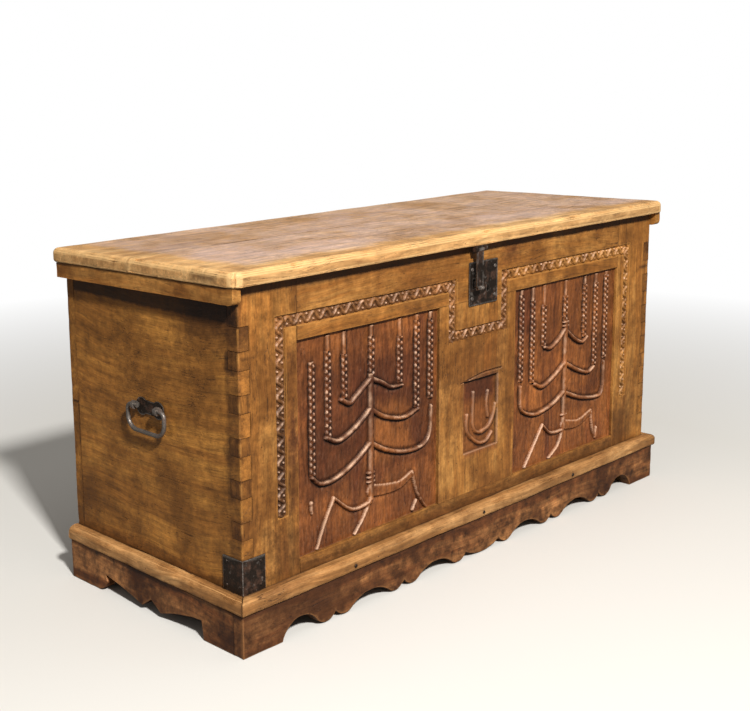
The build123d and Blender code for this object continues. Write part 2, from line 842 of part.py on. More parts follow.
def hinge_lid_strap(x):
    """The strap under the lid, with the middle knuckle."""
    half = strap_width / 2
    low, high = knuckle_cut(x)
    inside = seat_run - back_thickness
    plate = block(x - half, x + half, seat_run - strap_reach, inside, -strap_thickness, 0)
    plate += block(low, high, inside - 1, seat_run + barrel_out, -strap_thickness, 0)
    strap = lid_place * plate + barrel_piece(low, high, barrel_radius)
    strap -= barrel_piece(low - 1, high + 1, barrel_pin + barrel_play)
    for point in lid_strap_nails(x):
        strap -= lid_place * nail_hole(point, (0, 0, 1))
    return strap


def hinge_pin(x):
    """The hinge's pin."""
    half = strap_width / 2
    return barrel_piece(x - half, x + half, barrel_pin)


# ---- lid ----

def lid_slab():
    """The whole lid before it is cut into its two boards."""
    reach = half_length + lid_end_overhang
    slab = block(-reach, reach, -lid_front_overhang, seat_run + lid_back_overhang, 0,
                 lid_thickness)
    slab = fillet(slab.edges().filter_by(Axis.Z), lid_corner_round)
    slab = fillet(slab.faces().sort_by(Axis.Z)[-1].edges(), lid_top_round)
    return fillet(slab.faces().sort_by(Axis.Z)[0].edges(), lid_low_round)


def bracket_tangs():
    """The hasp bracket's two tangs, from the lid's seat: x positions."""
    return [hasp_x + i * (hasp_width + lug_thickness) / 2 for i in (-1, 1)]


def batten_nail_points(side):
    """The nails of a batten, from the lid's seat."""
    x = side * (half_length + batten_gap + batten_thickness / 2)
    pitch = seat_run / batten_nail_count
    return [(x, (i + 0.5) * pitch, -batten_depth) for i in range(batten_nail_count)]


def lid_board(low, high):
    """One of the lid's two boards, between two distances from the front face."""
    reach = half_length + lid_end_overhang + overcut
    board = lid_slab() & block(-reach, reach, low, high, -overcut, overcut)
    for x in bracket_tangs():
        board -= rod((x, -hasp_pin_out, -1), (x, -hasp_pin_out, tang_length),
                     nail_shank + nail_play)
    for side in (-1, 1):
        for x, y, z in batten_nail_points(side):
            board -= nail_hole((x, y, z), (0, 0, 1), batten_depth + nail_length)
        for point in lid_strap_nails(side * hinge_spread):
            board -= nail_hole(point, (0, 0, 1))
    return lid_place * board


def lid_batten(side):
    """The batten under one end of the lid, outside the carcass, with a rounded front end."""
    near = half_length + batten_gap
    span = sorted((side * near, side * (near + batten_thickness)))
    batten = block(*span, -batten_front, seat_run, -batten_depth, 0)
    front = batten.faces().sort_by(Axis.Y)[0]
    batten = fillet(front.edges().filter_by(Axis.X).sort_by(Axis.Z)[0], batten_round)
    for point in batten_nail_points(side):
        batten -= nail_hole(point, (0, 0, 1), batten_depth + nail_length)
    return lid_place * batten


# ---- hasp ----

def hasp_bracket():
    """Two lugs on a small plate under the lid's front edge, held by tangs."""
    half = hasp_width / 2 + lug_play + lug_thickness
    y_low, y_high = -hasp_pin_out - hasp_knuckle, -hasp_pin_out - hasp_knuckle + bracket_depth
    bracket = block(hasp_x - half, hasp_x + half, y_low, y_high, -bracket_plate, 0)
    for side in (-1, 1):
        inner = hasp_x + side * (hasp_width / 2 + lug_play)
        outer = hasp_x + side * half
        y, z = -hasp_pin_out, -hasp_pin_drop
        bracket += rod((inner, y, z), (outer, y, z), hasp_knuckle)
        span = sorted((inner, outer))
        bracket += block(*span, y - hasp_knuckle, y + hasp_knuckle, z, -bracket_plate)
    for x in bracket_tangs():
        bracket += rod((x, -hasp_pin_out, -bracket_plate), (x, -hasp_pin_out, tang_length - 1),
                       nail_shank)
    bracket -= rod((hasp_x - 2 * half, -hasp_pin_out, -hasp_pin_drop),
                   (hasp_x + 2 * half, -hasp_pin_out, -hasp_pin_drop),
                   hasp_pin_radius + hasp_pin_play)
    return lid_place * bracket


def hasp_pin():
    """The pin that the hasp hangs on."""
    half = hasp_width / 2 + lug_play + lug_thickness
    return rod((hasp_x - half, hasp_pin_y, hasp_pin_z), (hasp_x + half, hasp_pin_y, hasp_pin_z),
               hasp_pin_radius)


def hasp():
    """The hasp, hanging: a knuckle, a strap, a loop behind it for the bolt and a thumb roll."""
    half = hasp_width / 2
    left, right = hasp_x - half, hasp_x + half
    y, z = hasp_pin_y, hasp_pin_z
    front, back = y - hasp_thickness / 2, y + hasp_thickness / 2
    strap = rod((left, y, z), (right, y, z), hasp_knuckle)
    strap += block(left, right, front, back, z - hasp_length, z)
    low = z - hasp_length + thumb_radius
    strap += rod((left, front, low), (right, front, low), thumb_radius)
    near, far = hasp_x - loop_thickness / 2, hasp_x + loop_thickness / 2
    middle = z - loop_drop
    tip = back + loop_length
    loop = block(near, far, back - 1, tip, middle - loop_height / 2, middle + loop_height / 2)
    loop -= block(near - 1, far + 1, tip - loop_end_wall - loop_hole_length, tip - loop_end_wall,
                  middle - loop_hole_height / 2, middle + loop_hole_height / 2)
    strap += loop
    return strap - rod((left - 1, y, z), (right + 1, y, z), hasp_pin_radius + hasp_pin_play)


# ---- the chest, piece by piece ----

def all_nodes():
    """Every piece by its name."""
    nodes = {
        "front_top_rail": front_top_rail(),
        "front_bottom_rail": front_bottom_rail(),
        "front_muntin": front_muntin(),
        "front_skirt": front_skirt(),
        "front_mould": front_mould(),
        "back_board_lower": back_board(body_low, body_low + back_lower_width),
        "back_board_upper": back_board_upper(),
        "corner_iron": corner_iron(),
        "lock_plate": lock_plate(),
        "lock_case": lock_case(),
        "lock_bolt": lock_bolt(),
        "lid_board_front": lid_board(-overcut, lid_seam),
        "lid_board_back": lid_board(lid_seam, seat_run + overcut),
        "hasp_bracket": hasp_bracket(),
        "hasp_pin": hasp_pin(),
        "hasp": hasp(),
    }
    for index, place in enumerate(("front", "middle", "back")):
        nodes[f"floor_board_{place}"] = floor_board(index)
    moulds, plates = both_ends(side_mould()), both_ends(handle_plate())
    eyes, bails = both_ends(handle_eyes()), both_ends(bail())
    for end, (name, side) in enumerate((("left", -1), ("right", 1))):
        nodes[f"front_stile_{name}"] = front_stile(side)
        nodes[f"front_panel_{name}"] = front_panel(side)
        nodes[f"side_board_{name}"] = side_board(side)
        nodes[f"side_skirt_{name}"] = side_skirt(side)
        nodes[f"side_mould_{name}"] = moulds[end]
        nodes[f"floor_bearer_{name}"] = floor_bearer(side)
        nodes[f"corner_block_front_{name}"] = corner_block(side, -1)
        nodes[f"corner_block_back_{name}"] = corner_block(side, 1)
        nodes[f"handle_plate_{name}"] = plates[end]
        nodes[f"handle_eyes_{name}"] = eyes[end]
        nodes[f"bail_{name}"] = bails[end]
        nodes[f"lid_batten_{name}"] = lid_batten(side)
        nodes[f"hinge_back_strap_{name}"] = hinge_back_strap(side * hinge_spread)
        nodes[f"hinge_lid_strap_{name}"] = hinge_lid_strap(side * hinge_spread)
        nodes[f"hinge_pin_{name}"] = hinge_pin(side * hinge_spread)
    nodes["mould_nails"] = nail_group(mould_points(), (0, 1, 0))
    nodes["lock_plate_nails"] = nail_group(lock_nail_points(), (0, 1, 0), stud_head)
    nodes["corner_iron_nails"] = Compound(children=[nail(*pair) for pair in iron_nail_points()])
    nodes["back_strap_nails"] = nail_group(
        [p for side in (-1, 1) for p in back_strap_nails(side * hinge_spread)], (0, -1, 0)
    )
    nodes["lid_strap_nails"] = lid_place * nail_group(
        [p for side in (-1, 1) for p in lid_strap_nails(side * hinge_spread)], (0, 0, 1)
    )
    nodes["lid_batten_nails"] = lid_place * nail_group(
        [p for side in (-1, 1) for p in batten_nail_points(side)], (0, 0, 1),
        length=batten_depth + nail_length
    )
    return nodes


def nail_group(points, direction, head=nail_head, length=nail_length):
    """Identical nails, each a solid of its own."""
    return Compound(children=[nail(point, direction, head, length) for point in points])


nodes = all_nodes()

# The origin is the middle of the whole chest on the floor.
boxes = [shape.bounding_box() for shape in nodes.values()]
x_shift = -(min(b.min.X for b in boxes) + max(b.max.X for b in boxes)) / 2
y_shift = -(min(b.min.Y for b in boxes) + max(b.max.Y for b in boxes)) / 2
to_origin = Pos(x_shift, y_shift, 0)

os.makedirs("parts", exist_ok=True)
for name, shape in nodes.items():
    export_step(to_origin * shape, f"parts/{name}.step")
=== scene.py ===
"""A carved walnut marriage chest: worn boards, carved panels and black iron around its solids.

Lengths are metres unless a name says millimetres. X runs along the front to the right, Y from
the front to the back, Z up.
"""

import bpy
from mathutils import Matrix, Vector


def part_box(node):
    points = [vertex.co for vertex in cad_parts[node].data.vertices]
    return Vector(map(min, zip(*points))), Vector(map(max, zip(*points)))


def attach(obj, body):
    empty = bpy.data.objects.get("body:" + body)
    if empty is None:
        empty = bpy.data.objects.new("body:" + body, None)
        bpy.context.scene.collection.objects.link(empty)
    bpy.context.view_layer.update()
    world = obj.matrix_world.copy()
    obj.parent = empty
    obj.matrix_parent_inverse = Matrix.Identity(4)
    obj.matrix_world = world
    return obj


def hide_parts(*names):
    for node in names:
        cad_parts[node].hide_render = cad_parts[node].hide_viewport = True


bl_info = {
    "name": "Carved Marriage Chest",
    "version": (1, 0, 0),
    "blender": (4, 5, 0),
    "location": "View3D > Sidebar > Chest",
    "description": "Worn walnut boards, carved panels and black iron for a long chest",
    "category": "Add Mesh",
}

import math

import bmesh
import bpy
import numpy as np
from bpy.props import FloatProperty, FloatVectorProperty, PointerProperty
from mathutils import Matrix, Vector, noise
from mathutils.bvhtree import BVHTree

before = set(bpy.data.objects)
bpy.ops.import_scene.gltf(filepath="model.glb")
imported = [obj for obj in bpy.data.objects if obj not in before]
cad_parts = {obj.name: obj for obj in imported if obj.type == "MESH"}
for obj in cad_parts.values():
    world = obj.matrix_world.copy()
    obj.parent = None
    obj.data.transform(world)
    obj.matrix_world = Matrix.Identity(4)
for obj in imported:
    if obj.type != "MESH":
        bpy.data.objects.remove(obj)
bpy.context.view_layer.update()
MM = 0.001
X, Y, Z = 0, 1, 2

# ---- places read from the frame ----

STILE_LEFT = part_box("front_stile_left")
STILE_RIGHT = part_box("front_stile_right")
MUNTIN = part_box("front_muntin")
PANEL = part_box("front_panel_left")
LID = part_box("lid_board_front")
FRONT = STILE_LEFT[0].y                       # the face of the front frame
BODY_END = STILE_RIGHT[1].x                   # the outer face of a side board
STILE_EDGE = STILE_RIGHT[0].x                 # inner edge of a stile
MUNTIN_EDGE = MUNTIN[1].x
TONGUE = 9 * MM                               # how far a panel runs into its grooves
PANEL_LOW = PANEL[0].z + TONGUE
PANEL_HIGH = PANEL[1].z - TONGUE
SEAT = STILE_LEFT[1].z                        # top of the front
MOULD_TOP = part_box("front_mould")[1].z
HALF_TALL = (PANEL_HIGH - PANEL_LOW) / 2 / MM   # of a panel's face, in millimetres
HALF_WIDE = (STILE_EDGE - MUNTIN_EDGE) / 2 / MM
WHITE = (1, 1, 1, 1)
# The reach of a patch through a board and over all of it, in millimetres.
THROUGH, WHOLE = 100, 1000


# ---- settings that a user would change ----

def colour(name, description, value):
    """A colour setting, given as it looks on a screen."""
    return FloatVectorProperty(name=name, description=description, subtype="COLOR_GAMMA",
                               size=3, min=0, max=1, default=[part / 255 for part in value])


def number(name, description, value, **more):
    """A number setting."""
    return FloatProperty(name=name, description=description, default=value, **more)


def length(name, description, value):
    """A length setting in metres."""
    return number(name, description, value, subtype="DISTANCE", unit="LENGTH")


def angle(name, description, value):
    """An angle setting in radians."""
    return number(name, description, value, subtype="ANGLE")


class ChestColours(bpy.types.PropertyGroup):
    """The colours of the carving, the stains, the iron and the floor; WOODS adds the woods."""
    # Also paints the highlights on the carving's up-left flanks.
    carving: colour("Carving, rubbed", "Rubbed ridges of the carving", (224, 180, 146))
    # Sun bleaching, with a painted sky reflection on the lid's top.
    lid_bleached_and_sheen: colour("Lid, bleached", "Sun bleached top of the lid", (204, 172, 156))
    # Also the colour of the painted shadow under the lid and of the painted shade in carved
    # hollows.
    grime_and_shade: colour("Grime", "Dirt and old wax in the hollows", (36, 20, 12))
    stain: colour("Stain", "Blotches in the wood", (74, 42, 20))
    iron: colour("Iron", "Blackened iron", (50, 41, 34))
    bright_iron: colour("Iron, rubbed", "Edges rubbed bright", (168, 158, 148))
    rust: colour("Rust", "Thin rust on the iron", (92, 58, 38))
    floor: colour("Floor", "Pale studio floor", (226, 222, 214))


TONES = {"pale": "Pale or rubbed grain", "mid": "Plain wood", "dark": "Growth lines"}
WOODS = {
    "frame": ("the front frame", (190, 134, 68), (164, 106, 46), (112, 64, 24)),
    "band": ("the carved bands", (160, 108, 60), (140, 90, 46), (86, 50, 26)),
    "panel": ("the panels", (164, 98, 46), (140, 80, 38), (82, 40, 22)),
    "side": ("the sides and the back", (184, 126, 56), (160, 104, 44), (104, 64, 24)),
    "lid": ("the lid", (244, 198, 134), (218, 164, 102), (142, 94, 52)),
    "mould": ("the moulding", (208, 156, 98), (168, 116, 64), (106, 66, 34)),
    "skirt": ("the skirt", (156, 106, 62), (112, 66, 34), (70, 38, 20)),
    "inner": ("the floor and the blocks", (182, 148, 104), (150, 112, 72), (160, 104, 44)),
}
for kind, (part, *values) in WOODS.items():
    for tone, value in zip(TONES, values):
        ChestColours.__annotations__[f"{kind}_{tone}"] = colour(
            f"{kind.capitalize()}, {tone}", f"{TONES[tone]} of {part}", value)


class ChestWear(bpy.types.PropertyGroup):
    """How worn and how deeply carved the chest is."""
    arris: length("Arris", "Width of the worn edge of a board", 2.2 * MM)
    dent: length("Dents", "How deep a board's face is dented", 0.8 * MM)
    chip: length("Chips", "How deep an edge is chipped", 1.8 * MM)
    board_step: length("Board step", "Spacing of the points of a board's face", 16 * MM)
    carving_step: length("Carving step", "Spacing of the points of the carving", 1.5 * MM)
    relief: length("Relief", "Height of the ridges on the panels", 6.2 * MM)
    band_step: length("Band step", "Spacing of the points of the carved bands", 1.2 * MM)
    band_wave: length("Band wave", "Length of one wave of the carved bands", 34 * MM)
    wax: number("Wax", "How strongly the old wax shines", 0.05, min=0, max=1, subtype="FACTOR")


class ChestStage(bpy.types.PropertyGroup):
    """Camera, lamps and floor."""
    camera_place: FloatVectorProperty(
        name="Camera", description="Where the camera stands", subtype="TRANSLATION",
        unit="LENGTH", size=3, default=(-2.2126, -2.0162, 1.1566))
    camera_yaw: angle("Yaw", "Turn of the view from +Y to +X", 0.7992)
    camera_pitch: angle("Pitch", "How far the view looks down", 0.1924)
    camera_roll: angle("Roll", "Tilt of the camera", -0.0051)
    camera_lens: number("Lens", "Focal length in millimetres", 60.7)
    camera_shift: FloatVectorProperty(name="Shift", description="Shift of the picture, in widths",
                                      size=2, default=(0.0333, -0.0807))
    key_power: number("Key", "Power of the front lamp in watts", 560)
    top_power: number("Top", "Power of the overhead lamp in watts", 20)
    sky: number("Sky", "Strength of the even light", 0.2)
    fade: length("Fade", "How far from the chest the floor turns white", 2.2)


def settings(group):
    """One of the scene's groups of settings."""
    return getattr(bpy.context.scene, "chest_" + group)


def linear(value):
    """A screen colour as the linear colour that a shader takes."""
    parts = [c / 12.92 if c <= 0.04045 else ((c + 0.055) / 1.055) ** 2.4 for c in value]
    return (*parts, 1)


# ---- materials ----

def feed(made, inputs):
    """Gives a shader node its inputs: numbers, colours or other nodes' sockets."""
    for key, value in inputs.items():
        if isinstance(value, bpy.types.NodeSocket):
            made.id_data.links.new(value, made.inputs[key])
        else:
            made.inputs[key].default_value = value


def node(kind, inputs=None, tree=None, **values):
    """Adds a shader node, to the tree of its inputs where none is named."""
    inputs = inputs or {}
    if tree is None:
        tree = next(value.id_data for value in inputs.values()
                    if isinstance(value, bpy.types.NodeSocket))
    made = tree.nodes.new("ShaderNode" + kind)
    for key, value in values.items():
        setattr(made, key, value)
    feed(made, inputs)
    return made


def source(tree, kind, output, **values):
    """An output of a node that has no inputs."""
    return node(kind, tree=tree, **values).outputs[output]


def attribute(tree, name):
    """A value kept on the mesh."""
    return source(tree, "Attribute", "Fac", attribute_name=name)


def cloud(place, scale, detail=3, roughness=0.5, distortion=0):
    """A noise texture's value."""
    return node("TexNoise", {"Vector": place, "Scale": scale, "Detail": detail,
                             "Roughness": roughness, "Distortion": distortion}).outputs[0]


def window(value, low, high, bottom=0, top=1):
    """Maps low to bottom and high to top, and stops there."""
    return node("MapRange", {"Value": value, "From Min": low, "From Max": high,
                             "To Min": bottom, "To Max": top}).outputs[0]


def joined(first, second, operation="MULTIPLY"):
    """Two values multiplied, or joined by another operation."""
    return node("Math", {0: first, 1: second}, operation=operation).outputs[0]


def moved(first, second, operation):
    """Two vectors joined by an operation."""
    return node("VectorMath", {0: first, 1: second}, operation=operation).outputs[0]


def blended(share, first, second, blend="MIX"):
    """Two colours mixed."""
    return node("Mix", {0: share, 6: first, 7: second}, data_type="RGBA",
                blend_type=blend).outputs[2]


def shaded(tint, value):
    """A colour made darker or brighter by a value."""
    grey = node("CombineColor", {0: value, 1: value, 2: value}).outputs[0]
    return blended(1, tint, grey, "MULTIPLY")


def stretched(place, axis, along, across):
    """The place scaled so that a texture runs along one axis."""
    scale = [across] * 3
    scale[axis] = along
    return node("Mapping", {"Vector": place, "Scale": scale}).outputs[0]


def patch(place, ragged, centre, reach, soft):
    """One inside a box round a centre and nought outside it, with a soft and ragged border."""
    away = moved(moved(place, centre, "SUBTRACT"), (0, 0, 0), "ABSOLUTE")
    parts = node("SeparateXYZ", {0: moved(away, reach, "SUBTRACT")}).outputs
    outside = joined(joined(parts[0], parts[1], "MAXIMUM"), parts[2], "MAXIMUM")
    return window(joined(outside, joined(ragged, soft), "ADD"), -soft, soft, 1, 0)


def new_material(name):
    """An empty material with its output and a shader."""
    material = bpy.data.materials.new(name)
    material.use_nodes = True
    tree = material.node_tree
    tree.nodes.clear()
    shader = node("BsdfPrincipled", tree=tree)
    node("OutputMaterial", {"Surface": shader.outputs[0]})
    return material, tree, shader


def wood(name, axis, tones, seed, blotch=0.5, worn=0.5, roughness=0.5, figure=24, uneven=1.0,
         seams=1.0, patches=()):
    """Old waxed wood whose grain runs along one axis.

    tones are its pale, middle, dark and rubbed colours; the rubbed colour also paints the
    carving's highlights. Growth lines, streaks, fibres, pores, blotches, cracks and specks lie
    over one another; rubbed edges are pale, carved ridges take a painted highlight on their upper
    left flank, and seams and carved hollows are grimy, the hollows also with painted shade. blotch
    is the strength of the blotches, worn that of the rubbed edges, uneven that of the changes in
    tone and seams that of the darkening in the seams; figure is how closely the growth lines lie.
    A patch is (centre in metres, reach and softness in millimetres, colour, strength); some
    patches are painted shadows.
    """
    material, tree, shader = new_material(name)
    colours = settings("colours")
    pale, mid, dark, rubbed_and_highlight_colour = [linear(tone) for tone in tones]
    stain, grime_and_shade = linear(colours.stain), linear(colours.grime_and_shade)
    here = source(tree, "TexCoord", "Object")
    offset = [seed * factor % 7 for factor in (1.37, 2.71, 3.93)]
    place = node("Mapping", {"Vector": here, "Location": offset}).outputs[0]
    wander = node("TexNoise", {"Vector": place, "Scale": 2.2, "Detail": 2}).outputs[1]
    centred = moved(wander, (0.5, 0.5, 0.5), "SUBTRACT")
    scaled = node("VectorMath", {0: centred, "Scale": 0.09}, operation="SCALE").outputs[0]
    bent = moved(place, scaled, "ADD")

    def grain(along, across, *look):
        return cloud(stretched(bent, axis, along, across), 1, *look)

    rings = grain(1.0, figure, 5, 0.62, 0.5)
    streak, fibre = grain(5, 110, 6, 0.72), grain(14, 420, 3, 0.6)
    pores, crack = window(grain(30, 620, 2), 0.60, 0.72), grain(1.6, 60, 3)
    mottle, cloudy = cloud(place, 6.5, 6, 0.64), cloud(place, 2.1, 5, 0.6, 0.4)
    speckle = cloud(place, 42, 7, 0.75)
    ragged = window(mottle, 0.3, 0.7, -0.9, 0.9)
    ragged = joined(window(speckle, 0.3, 0.7, -0.5, 0.5), ragged, "ADD")

    ramp = node("ValToRGB", {"Fac": rings})
    stops = ((0.30, dark), (0.44, mid), (0.58, pale), (0.70, mid))
    while len(ramp.color_ramp.elements) < len(stops):
        ramp.color_ramp.elements.new(0.5)
    for element, (position, value) in zip(ramp.color_ramp.elements, stops):
        element.position = position
        element.color = value
    tint = blended(window(mottle, 0.40, 0.62), ramp.outputs[0], mid)
    for centre, reach, soft, patch_colour, strength in patches:
        inside = patch(here, ragged, centre, [part * MM for part in reach], soft * MM)
        tint = blended(joined(inside, strength), tint, linear(patch_colour))
    for field, low, high, first, last in (
            (streak, 0.32, 0.68, 0.66, 1.24), (fibre, 0.3, 0.7, 0.86, 1.12),
            (mottle, 0.34, 0.64, 1 + 0.22 * uneven, 1 - 0.28 * uneven),
            (speckle, 0.32, 0.66, 1 - 0.36 * uneven, 1 + 0.26 * uneven)):
        tint = shaded(tint, window(field, low, high, first, last))
    tint = blended(joined(pores, 0.45), tint, stain)
    tint = blended(window(mottle, 0.50, 0.68, 0, blotch), tint, dark)
    tint = blended(window(cloudy, 0.54, 0.72, 0, blotch), tint, stain)
    line = window(joined(joined(crack, 0.5, "SUBTRACT"), 0, "ABSOLUTE"), 0, 0.008, 1, 0)
    line = joined(line, window(mottle, 0.52, 0.58, 0, 0.8))
    specks = node("TexVoronoi", {"Vector": place, "Scale": 55}).outputs["Distance"]
    dots = joined(window(specks, 0.05, 0.12, 0.7, 0), window(cloudy, 0.48, 0.56))
    tint = blended(joined(line, dots, "MAXIMUM"), tint, grime_and_shade)

    edge = joined(attribute(tree, "edge"), 3, "POWER")
    rubbed_and_sheen = joined(joined(edge, worn), window(mottle, 0.30, 0.55, 0.2, 1))
    # The ridge attribute is the carving's painted highlight, laid over the rubbed edges.
    rubbed_and_sheen = joined(rubbed_and_sheen, attribute(tree, "ridge"), "MAXIMUM")
    tint = blended(rubbed_and_sheen, tint, rubbed_and_highlight_colour)
    seam = joined(attribute(tree, "seam"), 3, "POWER")
    seam = joined(seam, window(speckle, 0.38, 0.6, 0.1 * seams, seams))
    seam = joined(seam, window(mottle, 0.40, 0.56, 0.35, 1))
    # Dark seams, and grime with painted shade in carved hollows.
    dirt_and_shade = joined(attribute(tree, "cavity"), seam, "MAXIMUM")
    tint = blended(dirt_and_shade, tint, grime_and_shade)

    height = joined(fibre, 0.5)
    for field, share in ((pores, -0.6), (streak, 0.8), (speckle, 0.7), (line, -2)):
        height = joined(height, joined(field, share), "ADD")
    bump = node("Bump", {"Height": height, "Strength": 0.6, "Distance": 0.0011})
    rough = window(speckle, 0.35, 0.65, roughness - 0.08, roughness + 0.12)
    feed(shader, {"Base Color": tint, "Roughness": joined(rough, joined(dirt_and_shade, 0.2), "ADD"),
                  "Normal": bump.outputs[0], "Specular IOR Level": 0.3,
                  "Coat Weight": settings("wear").wax, "Coat Roughness": 0.35})
    return material


def iron(name, seed, worn=0.0):
    """Blackened wrought iron: hammered, with thin rust and edges rubbed bright; worn brightens
    it all over."""
    material, tree, shader = new_material(name)
    colours = settings("colours")
    here = source(tree, "TexCoord", "Object")
    place = node("Mapping", {"Vector": here, "Location": (seed, seed * 0.7, 0)}).outputs[0]
    scale = 90                                # of the hammer marks, per metre
    hammer, marks = cloud(place, scale, 3, 0.55), cloud(place, scale * 5, 4, 0.7)
    rust = window(cloud(place, scale * 0.55, 6, 0.7), 0.50, 0.66)
    black, bright = linear(colours.iron), linear(colours.bright_iron)
    tint = [a + 0.5 * worn * (b - a) for a, b in zip(black, bright)]
    tint = shaded(tint, window(marks, 0.3, 0.7, 0.6, 1.6))
    tint = blended(joined(rust, 0.7), tint, linear(colours.rust))
    rubbed_and_sheen = joined(attribute(tree, "edge"), 1.5, "POWER")
    rubbed_and_sheen = joined(rubbed_and_sheen, window(marks, 0.36, 0.56, 0.1, 1))
    rubbed_and_sheen = joined(rubbed_and_sheen, window(hammer, 0.62, 0.72, 0, 0.5), "MAXIMUM")
    tint = blended(rubbed_and_sheen, tint, bright)
    height = joined(hammer, joined(marks, 0.25), "ADD")
    bump = node("Bump", {"Height": height, "Strength": 0.7, "Distance": 0.0014})
    metallic = joined(window(rust, 0, 1, 0.7, 0.2), joined(rubbed_and_sheen, 0.3), "ADD")
    rough = window(joined(hammer, rust, "ADD"), 0.3, 1.2, 0.38, 0.72)
    feed(shader, {"Base Color": tint, "Roughness": joined(rough, joined(rubbed_and_sheen, -0.12), "ADD"),
                  "Metallic": metallic, "Normal": bump.outputs[0]})
    return material


def tones(kind, carved=False):
    """The pale, middle, dark and rubbed colours of one of the woods; for carved wood the rubbed
    colour is the carving's, which also paints its highlights.
    """
    colours = settings("colours")
    pale, mid, dark = [getattr(colours, f"{kind}_{tone}") for tone in TONES]
    return pale, mid, dark, colours.carving if carved else pale


# ---- meshes ----

def solid_copy(name):
    """A copy of a solid's mesh with its seams merged and its flat faces whole."""
    same_point, same_plane = 0.01 * MM, math.radians(0.5)
    bm = bmesh.new()
    bm.from_mesh(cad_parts[name].data)
    bmesh.ops.remove_doubles(bm, verts=bm.verts, dist=same_point)
    bmesh.ops.dissolve_limit(bm, angle_limit=same_plane, verts=bm.verts, edges=bm.edges,
                             delimit=set())
    return bm


def sliced(bm, axis, places):
    """Cuts the mesh's faces across one axis at each of the places."""
    normal = Vector([float(i == axis) for i in range(3)])
    on_cut = 0.02 * MM
    for place in places:
        geometry = list(bm.verts) + list(bm.edges) + list(bm.faces)
        bmesh.ops.bisect_plane(bm, geom=geometry, dist=on_cut, plane_co=normal * place,
                               plane_no=normal)


def steps(low, high, step):
    """Places between low and high about a step apart."""
    count = max(1, round((high - low) / step))
    return [low + (high - low) * i / count for i in range(1, count)]


def neighbours(name, reach):
    """The boxes and search trees of the other solids that come near to a solid."""
    low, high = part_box(name)
    found = []
    for other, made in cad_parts.items():
        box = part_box(other)
        if other != name and all(box[0][i] < high[i] + reach and box[1][i] > low[i] - reach
                                 for i in range(3)):
            mesh = made.data
            tree = BVHTree.FromPolygons([v.co for v in mesh.vertices],
                                        [p.vertices[:] for p in mesh.polygons])
            found.append((box, tree))
    return found


def weathered(bm, name, arris, dent, chip, step, seed, corner=0):
    """Rounds the free edges of a board, gives its faces points and dents them, always inwards.
    Points on a free edge are marked as edge, and points close to another solid as seam. The
    corner is the radius of the upright edges at the front."""
    reach, touching, border = 9 * MM, 1.2 * MM, 5 * MM       # of dirt, of a joint, of a cut beside
    shortest = 2.4 * MM                                      # edge that is rounded
    margin, closest = 2 * MM, 1.4 * MM                       # of cuts to an end and to each other
    sharp, flat = math.radians(35), math.radians(4)
    slow_waves, quick_waves = 9, 55                          # per metre
    near = neighbours(name, reach)

    def gap_at(place):
        x, y, z = place
        gaps = [tree.find_nearest(place, reach)[3] for (a, b), tree in near
                if a[0] - reach < x < b[0] + reach and a[1] - reach < y < b[1] + reach
                and a[2] - reach < z < b[2] + reach]
        return min([gap for gap in gaps if gap is not None], default=reach)

    free = [e for e in bm.edges
            if len(e.link_faces) == 2 and e.calc_length() > shortest
            and e.calc_face_angle(0) > sharp
            and gap_at((e.verts[0].co + e.verts[1].co) / 2) > touching]
    bmesh.ops.bevel(bm, geom=free, offset=arris, offset_type="OFFSET", affect="EDGES",
                    segments=3, profile=0.5, material=-1, clamp_overlap=True)
    low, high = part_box(name)
    turns = [corner * share for share in (0.3, 0.6, 1) if corner]
    for axis in (X, Y, Z):
        places = []
        wanted = [end[axis] + shift for shift in (0, -border, border)
                  for box, _ in near for end in box] + steps(low[axis], high[axis], step)
        if axis != Z:
            wanted += [low[axis] + turn for turn in turns] + [high[axis] - turn for turn in turns]
        for place in wanted:
            inside = low[axis] + margin < place < high[axis] - margin
            if inside and all(abs(place - other) > closest for other in places):
                places.append(place)
        sliced(bm, axis, places)
    for v in bm.verts:
        across = abs(v.co.x) - (high.x - corner)
        ahead = low.y + corner - v.co.y
        if corner and across > 0 and ahead > 0:
            inwards = 1 - max(across, ahead) / math.hypot(across, ahead)
            v.co.x -= math.copysign(across * inwards, v.co.x)
            v.co.y += ahead * inwards
    bm.normal_update()
    edge = bm.verts.layers.float.new("edge")
    seam = bm.verts.layers.float.new("seam")
    shift = Vector((seed * 3.1, seed * 1.7, seed * 0.9))
    moves = []
    for v in bm.verts:
        on_edge = max(e.calc_face_angle(0) for e in v.link_edges) > flat
        gap = gap_at(v.co)
        v[seam] = 1 - gap / reach
        v[edge] = float(on_edge and gap > touching)
        slow = noise.fractal(v.co * slow_waves + shift, 1.0, 2.0, 3)
        depth = dent * (0.5 + 0.5 * slow)
        if on_edge:
            quick = noise.noise(v.co * quick_waves + shift)
            depth += (0.3 + 0.7 * v[edge]) * chip * (max(0.0, quick - 0.1) + 0.25 * abs(slow))
        moves.append(v.normal * -max(0.0, depth))
    for v, move in zip(bm.verts, moves):
        v.co += move


def shade(mesh):
    """Smooth shading, broken at the sharp edges."""
    bm = bmesh.new()
    bm.from_mesh(mesh)
    sharp = math.radians(40)
    for face in bm.faces:
        face.smooth = True
    for edge in bm.edges:
        edge.smooth = len(edge.link_faces) == 2 and edge.calc_face_angle(0) < sharp
    bm.to_mesh(mesh)
    bm.free()


def placed(name, data):
    """A new object in the scene."""
    made = bpy.data.objects.new(name, data)
    bpy.context.scene.collection.objects.link(made)
    return made


